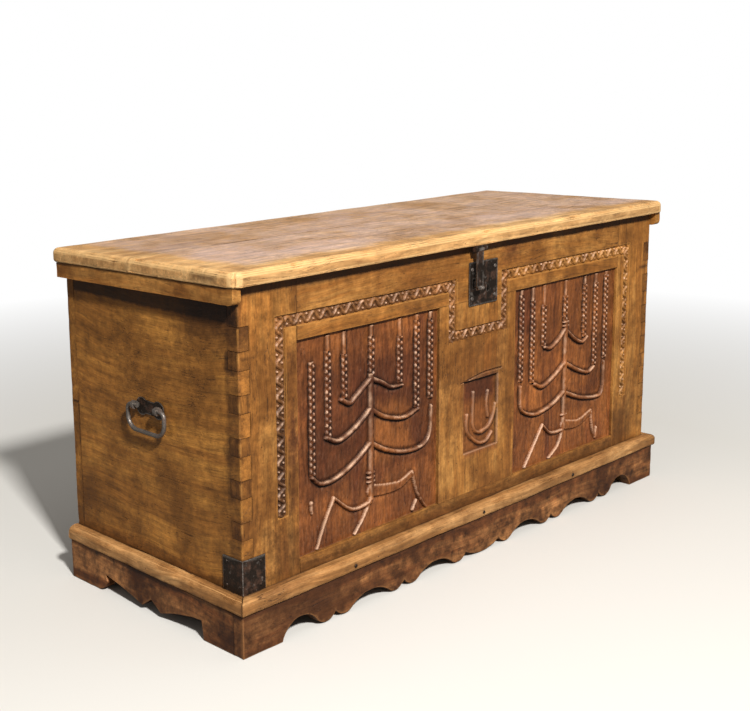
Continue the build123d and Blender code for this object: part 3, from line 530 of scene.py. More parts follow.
def piece(name, bm, material, body, replaced=(), weighted=True):
    """Makes an object of a mesh, puts it on the body that it rides on and hides the solids that it
    stands for.
    """
    mesh = bpy.data.meshes.new(name)
    bmesh.ops.triangulate(bm, faces=[f for f in bm.faces if len(f.verts) > 4])
    bm.to_mesh(mesh)
    bm.free()
    if "custom_normal" in mesh.attributes:
        mesh.attributes.remove(mesh.attributes["custom_normal"])
    mesh.materials.clear()
    mesh.materials.append(material)
    shade(mesh)
    made = placed(name, mesh)
    if weighted:
        even = made.modifiers.new("even shading", "WEIGHTED_NORMAL")
        even.keep_sharp = True
    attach(made, body)
    if replaced:
        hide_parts(*replaced)
    return made


def board(name, material, body, slot, seed, **more):
    """A worn board in place of a solid."""
    wear = settings("wear")
    values = {"arris": wear.arris, "dent": wear.dent, "chip": wear.chip,
              "step": wear.board_step * 1, **more}
    bm = solid_copy(name)
    weathered(bm, name, seed=seed, **values)
    return piece("worn_" + name, bm, material, body, (name,))


def dress(name, material):
    """Gives a solid that is shown as it is its material."""
    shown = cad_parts[name]
    shown.data.materials.clear()
    shown.data.materials.append(material)
    for polygon in shown.data.polygons:
        polygon.material_index = 0


# ---- carving: fields of millimetres over a face ----

def smooth_line(points, per_span=8):
    """A smooth line through hand-set points."""
    points = [np.array(p, float) for p in points]
    if len(points) == 2:
        return points
    ends = [2 * points[0] - points[1]] + points + [2 * points[-1] - points[-2]]
    line = []
    for a, b, c, d in zip(ends, ends[1:], ends[2:], ends[3:]):
        for t in np.arange(per_span) / per_span:
            line.append(0.5 * (2 * b + (c - a) * t + (2 * a - 5 * b + 4 * c - d) * t * t
                               + (3 * b - a - 3 * c + d) * t ** 3))
    return line + [points[-1]]


def distance_along(u, v, points):
    """For each place, the distance to a line and the share of the line where it is nearest."""
    line = smooth_line(points)
    nearest = np.full(u.shape, np.inf)
    share_there = np.zeros(u.shape)
    count = len(line) - 1
    for index, (start, end) in enumerate(zip(line, line[1:])):
        run = end - start
        t = ((u - start[0]) * run[0] + (v - start[1]) * run[1]) / max(run @ run, 1e-9)
        t = np.clip(t, 0, 1)
        away = np.hypot(u - start[0] - t * run[0], v - start[1] - t * run[1])
        closer = away < nearest
        nearest = np.where(closer, away, nearest)
        share_there = np.where(closer, (index + t) / count, share_there)
    return nearest, share_there


def dome(square):
    """A half-round section: one in the middle and nought where the square reaches one."""
    return np.sqrt(np.clip(1 - square, 0, 1))


def ridge(u, v, points, start_width, end_width, height, flat=0.0):
    """A rounded ridge along a line; flat widens its top."""
    away, part = distance_along(u, v, points)
    half = (start_width + (end_width - start_width) * part) / 2
    return height * dome(np.clip((away / half - flat) / (1 - flat), 0, 1) ** 2)


def serpent(u, v, wave, swing, half, rise):
    """A strand that winds from side to side along u, with a bead in each of its bays."""
    turn = 2 * math.pi * u / wave
    slope = np.sqrt(1 + (2 * math.pi * swing / wave * np.cos(turn)) ** 2)
    away = np.abs(v - swing * np.sin(turn)) / slope
    strand = rise * dome((away / half) ** 2)
    along = u % (wave / 2) - wave / 4
    across = v + 0.85 * swing * np.where(u % wave < wave / 2, 1, -1)
    bead = 0.8 * rise * dome((along ** 2 + across ** 2) / (0.8 * half) ** 2)
    return np.maximum(strand, bead)


def beaded(u, v, pitch, spread, half, rise):
    """Two columns of beads along u, half a pitch apart, on a low bar."""
    height = 0.3 * rise * dome((v / (spread + half)) ** 2)
    for sign in (-1, 1):
        along = (u + sign * pitch / 4) % pitch - pitch / 2
        bead = dome((along / (0.36 * pitch)) ** 2 + ((v - sign * spread) / half) ** 2)
        height = np.maximum(height, rise * bead)
    return height


def blurred(values, reach):
    """The mean over a square window of a field."""
    for axis in (0, 1):
        around = [(reach, reach) if i == axis else (0, 0) for i in (0, 1)]
        sums = np.cumsum(np.pad(values, around, mode="edge"), axis=axis)
        sums = np.concatenate([np.zeros_like(np.take(sums, [0], axis)), sums], axis)
        span, count = 2 * reach + 1, values.shape[axis]
        values = (np.take(sums, range(span, span + count), axis)
                  - np.take(sums, range(count), axis)) / span
    return values


def tooled(u, v, depth, wide, high, seed):
    """The hollows that a gouge leaves, of a width and a height."""
    shift = Vector((seed, seed * 2.3, 0))
    flat = [noise.noise(Vector((a / wide, b / high, 0)) + shift)
            for a, b in zip(u.ravel(), v.ravel())]
    return depth * np.array(flat).reshape(u.shape)


# Arms, legs and beaded strings of the two trees: millimetres from the panel's middle and its
# lower edge. An arm is (points, width at the stem, width at the tip), a leg adds how flat its top
# is, a string is (x, low, high, plain length at its top).
TREES = {
    "left": {
        "arms": [
            ([(0, 331), (-45, 301), (-62, 291), (-86, 303)], 10, 10),
            ([(2, 331), (36, 316), (64, 301), (99, 299)], 11, 6),
            ([(0, 266), (-45, 236), (-94, 218), (-130, 232)], 11, 9),
            ([(2, 264), (46, 239), (104, 225), (153, 236)], 11, 7),
            ([(0, 192), (-46, 162), (-105, 139), (-148, 139), (-171, 157)], 11, 8),
            ([(2, 190), (51, 164), (110, 147), (165, 148), (190, 171), (195, 232)], 11, 6),
        ],
        "strings": [(-77, 305, 446, 48), (-124, 232, 446, 34), (-170, 160, 398, 0),
                    (92, 304, 446, 40), (147, 238, 446, 12), (192, 250, 446, 16)],
        "stem": (4, 338, 446, 24),
        "collars": (126, 116, 106),
        "legs": [
            ([(0, 60), (-56, 59), (-110, 98)], 9, 7, 0.0),
            ([(-110, 98), (-137, 51), (-160, 1)], 8, 7, 0.0),
            ([(2, 70), (-21, 33), (-50, 1)], 9, 7, 0.0),
            ([(4, 84), (52, 77), (95, 76), (133, 91)], 28, 14, 0.6),
            ([(134, 92), (152, 40), (179, 2)], 8, 6, 0.0),
            ([(146, 26), (135, 7)], 6, 9, 0.0),
            ([(-174, 104), (-174, 82)], 9, 4, 0.0),
        ],
    },
    "right": {
        "arms": [
            ([(0, 324), (-28, 301), (-62, 285), (-88, 291)], 10, 8),
            ([(4, 318), (44, 289), (75, 277), (95, 287)], 10, 7),
            ([(0, 236), (-47, 209), (-93, 193), (-124, 205)], 11, 9),
            ([(4, 234), (60, 206), (104, 193), (130, 203)], 11, 7),
            ([(0, 162), (-50, 139), (-113, 128), (-159, 139), (-181, 160), (-183, 210)], 11, 6),
            ([(4, 158), (76, 131), (146, 120), (172, 134), (175, 208)], 11, 6),
        ],
        "strings": [(-91, 294, 446, 50), (-137, 210, 446, 30), (-182, 222, 446, 12),
                    (82, 290, 446, 20), (131, 207, 446, 24), (177, 218, 446, 10)],
        "stem": (-2, 344, 446, 40),
        "collars": (330, 340, 102),
        "legs": [
            ([(0, 62), (-53, 66), (-88, 94)], 9, 7, 0.0),
            ([(-88, 94), (-121, 51), (-160, 2)], 8, 7, 0.0),
            ([(0, 66), (-20, 27), (-60, 1)], 9, 7, 0.0),
            ([(4, 74), (67, 66), (124, 84)], 26, 12, 0.6),
            ([(124, 82), (135, 32), (147, 10)], 8, 6, 0.0),
            ([(150, 36), (147, 10)], 6, 9, 0.0),
        ],
    },
}

# Ridges in the small niche: millimetres from the muntin's middle and the panels' lower edge.
NICHE_RIDGES = [
    ([(-11, 232), (-13, 190), (-13, 160), (-4, 140), (14, 132)], 10, 8),
    ([(42, 226), (37, 200), (43, 166)], 9, 9),
    ([(71, 190), (60, 158), (44, 140), (19, 133)], 9, 12),
    ([(-33, 182), (-36, 158), (-29, 138), (-7, 118), (14, 107), (38, 108), (58, 124)], 11, 8),
]


def tree_height(side, u, v, relief):
    """The carved tree's height over the panel's ground."""
    tree = TREES[side]
    stem = dome(((u - 2) / 6.5) ** 2) * relief * 0.95
    height = np.where((v > 66) & (v < 342), stem, 0)
    for points, start, end in tree["arms"]:
        height = np.maximum(height, ridge(u, v, points, start, end, relief))
    for points, start, end, flat in tree["legs"]:
        proud = relief * (0.8 - 0.6 * flat)
        height = np.maximum(height, ridge(u, v, points, start, end, proud, flat))
    for x, low, high, plain in [*tree["strings"], tree["stem"]]:
        string = beaded(v - low, u - x, 14, 4.4, 3.4, relief * 0.85)
        bar = relief * 0.7 * dome(((u - x) / 4.5) ** 2)
        string = np.where(v < high - plain, string, bar)
        height = np.maximum(height, np.where((v > low) & (v < high), string, 0))
    for z in tree["collars"]:
        ring = dome(((v - z) / 3.4) ** 2 + ((u - 2) / 12) ** 4)
        height = np.maximum(height, ring * relief)
    return height


def carved_slab(middle, turn, size, step, field, ground, back, rub_and_highlight, dirt_and_shade=lambda u, v: 1):
    """A slab whose front is carved: a grid of points raised by a field.

    middle is the slab's middle as x and z, turn the angle of its length to X, size its length and
    width, ground the y of its ground and back the y of its back. The field takes millimetres from
    the middle and gives millimetres; of the two functions after back, the first tells from them
    how pale a ridge is and the second how dark a hollow. A ridge takes a painted highlight on the
    flank that faces up and left, and a painted shadow falls below and right of it; the broad
    hollows are grimy and painted with shade as well.
    """
    bm = bmesh.new()
    step *= 1
    counts = [max(2, round(s / step)) for s in size]
    bmesh.ops.create_grid(bm, x_segments=counts[0], y_segments=counts[1], size=0.5)
    flat = np.array([v.co for v in bm.verts])
    columns, column = np.unique(flat[:, 0].round(6), return_inverse=True)
    rows, row = np.unique(flat[:, 1].round(6), return_inverse=True)
    u = columns[:, None] * size[0] / MM * np.ones(len(rows))[None, :]
    v = np.ones(len(columns))[:, None] * rows[None, :] * size[1] / MM
    height = field(u, v)
    cos, sin = math.cos(turn), math.sin(turn)
    close, broad, drop = 4 * MM, 11 * MM, 2.5 * MM     # reach of the hollows, and how far a painted shadow falls below a ridge
    near = blurred(height, max(1, round(close / step)))
    wide = blurred(height, max(2, round(broad / step)))
    shift = [round(-drop / step * part) for part in (sin - cos, sin + cos)]
    above = np.roll(near, shift, (0, 1))
    # Painted shadow cast down and right of each ridge, plus painted shade and grime in the broad
    # hollows.
    hollow = 0.9 * np.clip((above - height) / 2, 0, 1) + 0.4 * np.clip((wide - height) / 2.5, 0, 1)
    hollow = np.clip(hollow * dirt_and_shade(u, v), 0, 1)
    rise_u, rise_v = np.gradient(height, step / MM)
    rise_x, rise_z = rise_u * cos - rise_v * sin, rise_u * sin + rise_v * cos
    # Painted highlight: the flank that faces up and left is paler.
    upward = np.clip(0.12 + 0.8 * (rise_x * 0.5 - rise_z * 0.85), 0, 1)
    proud = np.clip((height - near + 0.2) / 1.6, 0, 1) * upward * rub_and_highlight(u, v)
    cavity = bm.verts.layers.float.new("cavity")
    ridge_layer = bm.verts.layers.float.new("ridge")
    for vert, i, j in zip(bm.verts, column, row):
        a, b = u[i, j] * MM, v[i, j] * MM
        vert.co = (middle[0] + a * cos - b * sin, ground - height[i, j] * MM,
                   middle[1] + a * sin + b * cos)
        vert[cavity] = hollow[i, j]
        vert[ridge_layer] = proud[i, j]
    rim = [e for e in bm.edges if e.is_boundary]
    made = bmesh.ops.extrude_edge_only(bm, edges=rim)["geom"]
    for vert in (g for g in made if isinstance(g, bmesh.types.BMVert)):
        vert.co.y = back
        vert[cavity] = 0
        vert[ridge_layer] = 0
    bmesh.ops.contextual_create(bm, geom=[g for g in made if isinstance(g, bmesh.types.BMEdge)])
    bmesh.ops.recalc_face_normals(bm, faces=bm.faces)
    return bm


# ---- operators ----

class ChestOperator:
    """What the operators share."""
    bl_options = {"REGISTER", "UNDO"}

    def execute(self, context):
        self.make(context)
        return {"FINISHED"}


class CHEST_OT_stage(ChestOperator, bpy.types.Operator):
    """Floor, lamps, sky and camera"""
    bl_idname = "chest.stage"
    bl_label = "Stage"

    key_place, key_size = (-2.42, -4.49, 4.43), 0.5
    top_place, top_size = (0, -0.6, 3.6), 3.0
    aim = Vector((0, 0, 0.4))
    floor_reach = 30
    floor_bounce = (0.22, 0.21, 0.2, 1)       # the floor's colour for all but the camera
    fade_from, fade_to = 0.55, 1.5            # where the floor turns white, times the fade
    sky_colour = (1.0, 0.98, 0.95, 1)
    sensor_width = 36                         # in millimetres

    def make(self, context):
        stage, scene = settings("stage"), context.scene
        scene.view_settings.view_transform = "Standard"
        self.floor(stage)
        self.lamp("key", self.key_place, self.key_size, stage.key_power)
        self.lamp("top", self.top_place, self.top_size, stage.top_power)
        self.sky(scene, stage.sky)
        self.camera(scene, stage)

    def floor(self, stage):
        """A pale floor that keeps the shadow and turns white further off."""
        bm = bmesh.new()
        bmesh.ops.create_grid(bm, x_segments=2, y_segments=2, size=self.floor_reach)
        mesh = bpy.data.meshes.new("floor")
        bm.to_mesh(mesh)
        bm.free()
        floor = placed("floor", mesh)
        material, tree, shader = new_material("pale_floor")
        seen = source(tree, "LightPath", "Is Camera Ray")
        tint = blended(seen, self.floor_bounce, linear(settings("colours").floor))
        feed(shader, {"Base Color": tint, "Roughness": 0.9, "Specular IOR Level": 0.2})
        here = source(tree, "TexCoord", "Object")
        away = node("VectorMath", {0: here}, operation="LENGTH").outputs["Value"]
        far = window(away, self.fade_from * stage.fade, self.fade_to * stage.fade)
        white = node("Emission", {"Color": WHITE, "Strength": 1}, tree)
        mixed = node("MixShader", {0: joined(far, seen), 1: shader.outputs[0],
                                   2: white.outputs[0]})
        output = next(n for n in tree.nodes if n.type == "OUTPUT_MATERIAL")
        feed(output, {"Surface": mixed.outputs[0]})
        mesh.materials.append(material)

    def lamp(self, name, place, size, power):
        """A square lamp that shines on the chest."""
        light = bpy.data.lights.new(name, "AREA")
        light.shape = "SQUARE"
        light.size = size
        light.energy = power
        lamp = placed(name, light)
        lamp.location = place
        lamp.rotation_euler = (self.aim - Vector(place)).to_track_quat("-Z", "Y").to_euler()

    def sky(self, scene, strength):
        """An even light that the camera sees as white."""
        world = bpy.data.worlds.new("sky")
        world.use_nodes = True
        tree = world.node_tree
        tree.nodes.clear()
        seen = source(tree, "LightPath", "Is Camera Ray")
        light = node("Background", {"Color": self.sky_colour, "Strength": strength}, tree)
        white = node("Background", {"Color": WHITE, "Strength": 1}, tree)
        mixed = node("MixShader", {0: seen, 1: light.outputs[0], 2: white.outputs[0]})
        node("OutputWorld", {"Surface": mixed.outputs[0]})
        scene.world = world

    def camera(self, scene, stage):
        """The camera, turned by its yaw, its pitch and its roll."""
        lens = bpy.data.cameras.new("camera")
        lens.sensor_width = self.sensor_width
        lens.lens = stage.camera_lens
        lens.shift_x, lens.shift_y = stage.camera_shift
        pose = Matrix.Translation(stage.camera_place)
        for turn, axis in ((-stage.camera_yaw, "Z"), (math.radians(90) - stage.camera_pitch, "X"),
                           (stage.camera_roll, "Z")):
            pose = pose @ Matrix.Rotation(turn, 4, axis)
        camera = placed("camera", lens)
        camera.matrix_world = pose
        scene.camera = camera


class CHEST_OT_lid(ChestOperator, bpy.types.Operator):
    """The lid's two boards and the battens under its ends"""
    bl_idname = "chest.lid"
    bl_label = "Lid"

    def make(self, context):
        c = settings("colours")
        top = LID[1].z
        patches = (
            # Sun bleaching with a painted sky reflection over the top of the lid.
            ((0.11, 0.05, top), (770, 280, 16), 24, c.lid_bleached_and_sheen, 0.9),
            ((0.66, LID[0].y, top - 20 * MM), (260, 10, 14), 60, c.lid_dark, 0.6),
            ((0.321, LID[0].y, top - 8 * MM), (16, 10, 4), 9, c.stain, 0.8),
            ((LID[0].x, -0.21, top - 18 * MM), (20, 34, 8), 8, c.stain, 0.7))
        for name, seed in (("front", 11), ("back", 12)):
            wood_here = wood(f"lid_{name}", X, tones("lid"), seed, blotch=0.25, roughness=0.5,
                             worn=0.7, figure=17, uneven=0.5, patches=patches)
            board(f"lid_board_{name}", wood_here, "lid", "lid_wood", seed, dent=1.4 * MM,
                  chip=2.6 * MM, arris=3.5 * MM, corner=22 * MM if name == "front" else 0)
        for name, seed in (("left", 13), ("right", 14)):
            wood_here = wood(f"batten_{name}", Y, tones("frame"), seed, blotch=0.5)
            board(f"lid_batten_{name}", wood_here, "lid", "lid_wood", seed, arris=4 * MM)


class CHEST_OT_carcass(ChestOperator, bpy.types.Operator):
    """Side boards and back boards"""
    bl_idname = "chest.carcass"
    bl_label = "Sides and back"

    def make(self, context):
        c = settings("colours")
        for name, sign, seed in (("left", -1, 21), ("right", 1, 22)):
            x = sign * BODY_END
            patches = (
                ((x, FRONT, SEAT / 2), (WHOLE, 2, WHOLE), 2, c.frame_mid, 1),
                # Stain with painted shade at the top of the front corner.
                ((x, FRONT, SEAT), (THROUGH, 160, 125), 35, c.stain, 0.75),
                ((x, FRONT + 17 * MM, SEAT / 2), (1, 16, WHOLE), 7, c.stain, 0.75),
                ((x, FRONT + 30 * MM, 0.58), (1, 9, 17), 7, c.grime_and_shade, 0.9),
                ((x, FRONT + 34 * MM, 0.36), (1, 4, 60), 9, c.grime_and_shade, 0.7),
                # Painted shadow of the lid and its batten along the top of the side.
                ((x, 0, SEAT), (THROUGH, WHOLE, 74), 3, c.grime_and_shade, 0.85),
                ((x, 0, MOULD_TOP), (THROUGH, WHOLE, 14), 12, c.stain, 0.7))
            wood_here = wood(f"side_{name}", Y, tones("side"), seed, blotch=0.5, roughness=0.46,
                             seams=0.5, patches=patches)
            board(f"side_board_{name}", wood_here, "chest", "side_wood", seed, dent=1.6 * MM)
        for name, seed in (("lower", 23), ("upper", 24)):
            wood_here = wood(f"back_{name}", X, tones("side"), seed, blotch=0.6, roughness=0.6)
            board(f"back_board_{name}", wood_here, "chest", "side_wood", seed)


class CHEST_OT_front(ChestOperator, bpy.types.Operator):
    """The front frame: stiles, rails and the muntin with its carved niche"""
    bl_idname = "chest.front"
    bl_label = "Front frame"

    niche = (-52, 72, 95, 265)           # left, right, low and high, in millimetres
    niche_depth = 8
    channel_depth = 5.6
    scrape = ((-64, 264), (-34, 268), (20, 276), (86, 276))     # a scratch over the niche

    def make(self, context):
        c = settings("colours")
        by_hasp = ((0.115, FRONT, SEAT - 30 * MM), (30, THROUGH, 20), 16, c.panel_dark, 0.7)
        # Painted shadow under the lid's front edge, along the top of the frame.
        lid_shadow = ((0, FRONT, SEAT), (WHOLE, THROUGH, 19), 3, c.grime_and_shade, 0.75)
        by_panel = ((-STILE_EDGE - 14 * MM, FRONT, 0.42), (12, THROUGH, 160), 18, c.panel_dark,
                    0.85)
        by_band = ((-0.35, FRONT, SEAT), (300, THROUGH, 100), 50, c.frame_dark, 0.3)
        over_mould = ((0, FRONT, MOULD_TOP), (WHOLE, THROUGH, 26), 18, c.stain, 0.75)
        for name, axis, seed, uneven, patches in (
                ("stile_left", Z, 31, 1.4, [*self.stile_patches(-1, c), lid_shadow, by_panel]),
                ("stile_right", Z, 32, 1, [*self.stile_patches(1, c), lid_shadow]),
                ("top_rail", X, 33, 1, [by_band, by_hasp, lid_shadow]),
                ("bottom_rail", X, 34, 1.2, [over_mould])):
            wood_here = wood("front_" + name, axis, tones("frame"), seed, blotch=0.45,
                             uneven=uneven, seams=0.6, patches=patches)
            board("front_" + name, wood_here, "chest", "frame_wood", seed, arris=1.6 * MM,
                  dent=1.0 * MM, chip=1.2 * MM)
        self.muntin(c)

    def stile_patches(self, sign, c):
        """The side's colour on the stile's edge, dirt at its foot and along the corner, and the
        lid's painted shadow at the top of its side face.
        """
        end = sign * BODY_END
        return [((end, 0, SEAT / 2), (1, WHOLE, WHOLE), 1, c.side_dark, 0.9),
                ((end, FRONT + 14 * MM, 0.44), (1, 11, 260), 6, c.stain, 0.75),
                # Painted shadow of the lid on the stile's side face.
                ((end, FRONT + 20 * MM, SEAT), (1, 17, 74), 3, c.grime_and_shade, 0.85),
                ((sign * 0.6, FRONT, MOULD_TOP), (50, THROUGH, 110), 30, c.stain, 0.65),
                ((end - sign * 22 * MM, FRONT, 0.42), (3, THROUGH, 100), 4, c.grime_and_shade, 0.6),
                ((end - sign * 26 * MM, FRONT, 0.587), (20, THROUGH, 2), 4, c.grime_and_shade, 0.8)]

    def muntin(self, c):
        """The muntin, with its niche and the channels of the bands."""
        low, high = PANEL_LOW, PANEL_HIGH
        patches = (((0, FRONT, low + 0.28), (100, THROUGH, 100), 60, c.frame_dark, 0.75),
                   ((10 * MM, FRONT, low + 0.17), (58, THROUGH, 85), 8, c.panel_mid, 0.85),
                   # Painted shadow in the top of the niche.
                   ((10 * MM, FRONT, low + 0.24), (54, THROUGH, 24), 10, c.panel_dark, 0.9))
        wood_here = wood("front_muntin", Z, tones("frame", True), 35, blotch=0.45,
                         patches=patches)
        bm = carved_slab((0, (low + high) / 2), 0, (2 * MUNTIN_EDGE - 0.6 * MM, high - low),
                         settings("wear").carving_step, self.muntin_field, FRONT, MUNTIN[1].y,
                         lambda u, v: 0.4 * (v < 60), lambda u, v: 0.7)
        piece("carved_muntin", bm, wood_here, "chest", ("front_muntin",),
              weighted=False)

    def muntin_field(self, u, v):
        """The muntin's height over the face of the frame."""
        v = v + HALF_TALL
        left, right, low, high = self.niche
        ground = tooled(u, v, 0.5, 40, 60, 35) + tooled(u, v, 0.25, 9, 14, 36) - 0.5
        inside = (u > left) & (u < right) & (v > low) & (v < high)
        carved = -self.niche_depth + tooled(u, v, 1.1, 9, 16, 37) * inside
        for points, start, end in NICHE_RIDGES:
            carved = np.maximum(carved, ridge(u, v, points, start, end, 6) - self.niche_depth
                                + 0.2 * ground)
        height = np.where(inside, carved, ground - ridge(u, v, self.scrape, 2, 5, 2.5))
        inner = (MUNTIN_EDGE - CHEST_OT_bands.inset) / MM
        half = CHEST_OT_bands.width / 2 / MM
        bay = (PANEL_HIGH - PANEL_LOW - CHEST_OT_bands.bay_drop) / MM
        upright = (np.abs(np.abs(u) - inner) < half) & (v > bay - half)
        level = (np.abs(u) < inner) & (np.abs(v - bay) < half)
        height = np.where(upright | level, -self.channel_depth, height)
        edge = MUNTIN_EDGE / MM - np.abs(u)
        return height - 1.6 * np.clip(1 - edge / 3, 0, 1) ** 2


class CHEST_OT_bands(ChestOperator, bpy.types.Operator):
    """The carved bands that run round the front frame"""
    bl_idname = "chest.bands"
    bl_label = "Carved bands"

    width = 25 * MM
    depth = 5 * MM
    inset = 44 * MM
    top_rise = 42.5 * MM
    bay_drop = 73 * MM
    foot_rise = 100 * MM
    gap = 0.3 * MM                       # free space round a run
    lift, bed = 0.2 * MM, 0.4 * MM       # its ground over and its back under the channel's floor
    swing, strand, rise = 7.6, 3.8, 4.4  # of the winding strand, in millimetres

    def make(self, context):
        top, bay = PANEL_HIGH + self.top_rise, PANEL_HIGH - self.bay_drop
        foot = PANEL_LOW + self.foot_rise
        outer, inner = STILE_EDGE + self.inset, MUNTIN_EDGE - self.inset
        half, upright = self.width / 2, math.radians(90)
        runs = [("bay_foot", 0, bay, 0, 2 * (inner - half))]
        for side, name in ((-1, "left"), (1, "right")):
            runs.append((f"outer_{name}", side * outer, (foot + top + half) / 2, upright,
                         top + half - foot))
            runs.append((f"top_{name}", side * (outer + inner) / 2, top, 0,
                         outer - inner - self.width))
            runs.append((f"bay_{name}", side * inner, (bay + top) / 2, upright,
                         top - bay + self.width))
        for index, (name, x, z, turn, run) in enumerate(runs):
            self.band(name, x, z, turn, run, 41 + index)

    def band(self, name, x, z, turn, run, seed):
        """One straight run of a band, with whole waves."""
        wear = settings("wear")
        wave = run / MM / max(1, round(run / wear.band_wave))
        start = run / 2 / MM
        bm = carved_slab((x, z), turn, (run - 2 * self.gap, self.width - 2 * self.gap),
                         wear.band_step,
                         lambda u, v: (serpent(u + start, v, wave, self.swing, self.strand,
                                               self.rise) + tooled(u, v, 0.7, 6, 6, seed)),
                         FRONT + self.depth - self.lift, FRONT + self.depth + self.bed,
                         lambda u, v: np.clip(0.3 + tooled(u, v, 1.4, 7, 7, seed + 5), 0, 1),
                         lambda u, v: 0.5)
        axis = Z if turn else X
        dark_foot = ((-STILE_EDGE - self.inset, FRONT, 0.28), (30, THROUGH, 200), 60,
                     settings("colours").grime_and_shade, 0.8)
        wood_here = wood("band_" + name, axis, tones("band" if x < 0.1 else "frame", True), seed,
                         blotch=0.5, patches=[dark_foot])
        piece("band_" + name, bm, wood_here, "chest", weighted=False)


class CHEST_OT_panels(ChestOperator, bpy.types.Operator):
    """The two panels with their carved trees"""
    bl_idname = "chest.panels"
    bl_label = "Carved panels"

    recess = 9 * MM
    thickness = 12 * MM
    hidden = 5 * MM

    def make(self, context):
        wear, c = settings("wear"), settings("colours")
        z = (PANEL_LOW + PANEL_HIGH) / 2
        for side, sign, seed in (("left", -1, 51), ("right", 1, 52)):
            x = sign * (MUNTIN_EDGE + STILE_EDGE) / 2
            size = (STILE_EDGE - MUNTIN_EDGE + 2 * self.hidden,
                    PANEL_HIGH - PANEL_LOW + 2 * self.hidden)
            bm = carved_slab((x, z), 0, size, wear.carving_step,
                             lambda u, v: self.field(side, u, v, seed), FRONT + self.recess,
                             FRONT + self.recess + self.thickness, self.rub_and_highlight,
                             lambda u, v: self.dirt_and_shade(side, u, v))
            patches = [((x, FRONT, PANEL_LOW), (220, THROUGH, 50), 35, c.panel_dark, 0.3)]
            if side == "left":
                patches += [((x, FRONT, PANEL_HIGH - 0.2), (190, THROUGH, 140), 35,
                             c.panel_dark, 0.8),
                            ((x + 0.07, FRONT, PANEL_LOW + 0.22), (60, THROUGH, 60), 22,
                             c.panel_pale, 0.7)]
            else:
                patches += [((x - 0.17, FRONT, PANEL_HIGH), (50, THROUGH, 120), 30,
                             c.panel_dark, 0.7)]
            wood_here = wood("panel_" + side, Z, tones("panel", True), seed, blotch=0.5,
                             figure=20, roughness=0.42, patches=patches)
            piece("carved_panel_" + side, bm, wood_here, "chest",
                  ("front_panel_" + side,), weighted=False)

    def by_legs(self, v):
        """One at the height of the legs and nought above them."""
        return np.clip((125 - v - HALF_TALL) / 25, 0, 1)

    def rub_and_highlight(self, u, v):
        """How pale the ridges are, as wear and painted highlight: the legs palest, the beads in
        spots and the arms least.
        """
        legs = self.by_legs(v)
        spots = np.clip(0.35 + tooled(u, v, 1.6, 18, 18, 53), 0, 1)
        return 0.2 + 0.6 * legs + 0.6 * (1 - legs) * spots

    def dirt_and_shade(self, side, u, v):
        """How dark the hollows are, as grime and painted shade: darkest between the beads of the
        strings and lightest round the legs.
        """
        up = v + HALF_TALL
        tree, beads = TREES[side], np.zeros(u.shape)
        for x, low, high, plain in [*tree["strings"], tree["stem"]]:
            beads = np.maximum(beads, (np.abs(u - x) < 10) * (up > low) * (up < high - plain))
        return 0.75 - 0.4 * self.by_legs(v) + 0.9 * beads

    def field(self, side, u, v, seed):
        """The tree over the panel's tooled ground, with the panel's hidden edge left flat."""
        relief = settings("wear").relief / MM
        inside = (np.abs(u) < HALF_WIDE - 1) & (np.abs(v) < HALF_TALL - 1)
        tree = np.where(inside, tree_height(side, u, v + HALF_TALL, relief), 0)
        near = blurred(tree, 5)
        ground = (tooled(u, v, 1.0, 8, 30, seed) + tooled(u, v, 0.5, 4, 9, seed + 3) - 0.9
                  - 1.6 * np.clip(near / 2, 0, 1))
        lumps = tooled(u, v, 0.9, 7, 10, seed + 7)
        hidden = (np.abs(u) > HALF_WIDE - 0.4) | (np.abs(v) > HALF_TALL - 0.4)
        return np.where(hidden, -0.3, np.where(tree > 0.4, tree + lumps, ground))


class CHEST_OT_plinth(ChestOperator, bpy.types.Operator):
    """Moulding bars and scalloped skirts"""
    bl_idname = "chest.plinth"
    bl_label = "Moulding and skirt"

    def make(self, context):
        for part, axis, seed in (("front_mould", X, 61), ("side_mould_left", Y, 62),
                                 ("side_mould_right", Y, 63)):
            wood_here = wood(part, axis, tones("mould"), seed, blotch=0.3, worn=0.7, uneven=0.6)
            board(part, wood_here, "chest", "plinth_wood", seed, dent=2.0 * MM, chip=2.2 * MM,
                  arris=8 * MM, step=10 * MM)
        for part, axis, seed in (("front_skirt", X, 64), ("side_skirt_left", Y, 65),
                                 ("side_skirt_right", Y, 66)):
            wood_here = wood(part, axis, tones("skirt"), seed, blotch=0.7, worn=0.6, uneven=2.2)
            board(part, wood_here, "chest", "plinth_wood", seed, chip=1.6 * MM)


class CHEST_OT_inside(ChestOperator, bpy.types.Operator):
    """Floor boards, bearers and corner blocks"""
    bl_idname = "chest.inside"
    bl_label = "Floor and blocks"

    def make(self, context):
        for seed, part in enumerate(("front", "middle", "back"), 71):
            self.plain("floor_board_" + part, X, seed)
        for seed, side in enumerate(("left", "right"), 75):
            self.plain("floor_bearer_" + side, Y, seed)
            for end in ("front", "back"):
                self.plain(f"corner_block_{end}_{side}", Z, seed + 3)

    def plain(self, name, axis, seed):
        """A board or block shown as it is, in dry wood."""
        dress(name, wood(name, axis, tones("inner"), seed, blotch=0.3, roughness=0.75))


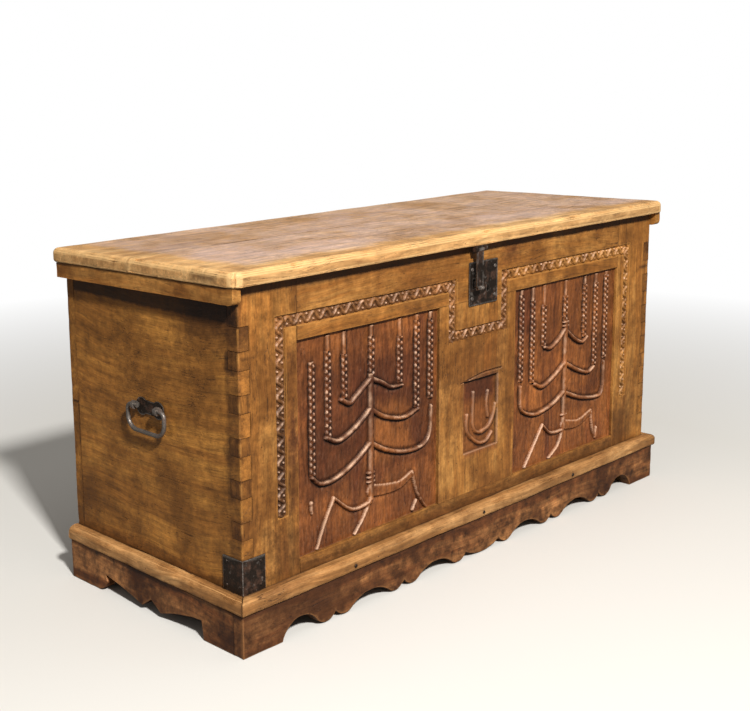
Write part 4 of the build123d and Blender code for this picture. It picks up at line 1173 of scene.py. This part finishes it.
class CHEST_OT_iron(ChestOperator, bpy.types.Operator):
    """Lock, hasp, hinges, handles, corner iron and nails"""
    bl_idname = "chest.iron"
    bl_label = "Ironwork"

    def make(self, context):
        black = iron("black_iron", 3)
        handled = iron("handled_iron", 5, worn=0.8)
        words = ("lock", "hasp", "hinge", "handle", "bail", "nails", "iron")
        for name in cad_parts:
            if any(word in name for word in words) and "block" not in name:
                dress(name, handled if "bail" in name or "eyes" in name else black)
        dress("lock_plate_nails", handled)
        for name, body, step, arris in (
                ("lock_plate", "chest", 5 * MM, 0.6 * MM), ("hasp", "hasp", 5 * MM, 0.9 * MM),
                ("corner_iron", "chest", 6 * MM, 0.7 * MM),
                ("handle_plate_left", "chest", 5 * MM, 0.6 * MM),
                ("handle_plate_right", "chest", 5 * MM, 0.6 * MM)):
            board(name, black, body, "iron", 81, dent=0.4 * MM, chip=0.5 * MM, arris=arris,
                  step=step)


OPERATORS = (CHEST_OT_stage, CHEST_OT_carcass, CHEST_OT_front, CHEST_OT_bands, CHEST_OT_panels,
             CHEST_OT_plinth, CHEST_OT_inside, CHEST_OT_iron, CHEST_OT_lid)


class CHEST_PT_panel(bpy.types.Panel):
    """The chest's pieces and settings"""
    bl_label = "Carved Marriage Chest"
    bl_space_type = "VIEW_3D"
    bl_region_type = "UI"
    bl_category = "Chest"

    def draw(self, context):
        for operator in OPERATORS:
            self.layout.operator(operator.bl_idname)
        for name, group in GROUPS.items():
            self.layout.label(text=name.capitalize())
            for key in group.__annotations__:
                self.layout.prop(settings(name), key)


GROUPS = {"colours": ChestColours, "wear": ChestWear, "stage": ChestStage}


def register():
    for kind in (*GROUPS.values(), *OPERATORS, CHEST_PT_panel):
        bpy.utils.register_class(kind)
    for name, group in GROUPS.items():
        setattr(bpy.types.Scene, "chest_" + name, PointerProperty(type=group))


def unregister():
    for name in GROUPS:
        delattr(bpy.types.Scene, "chest_" + name)
    for kind in (CHEST_PT_panel, *reversed(OPERATORS), *reversed(GROUPS.values())):
        bpy.utils.unregister_class(kind)


def main():
    """Makes the whole chest and its stage."""
    register()
    for operator in OPERATORS:
        group, name = operator.bl_idname.split(".")
        getattr(getattr(bpy.ops, group), name)()


if __name__ == "__main__":
    main()
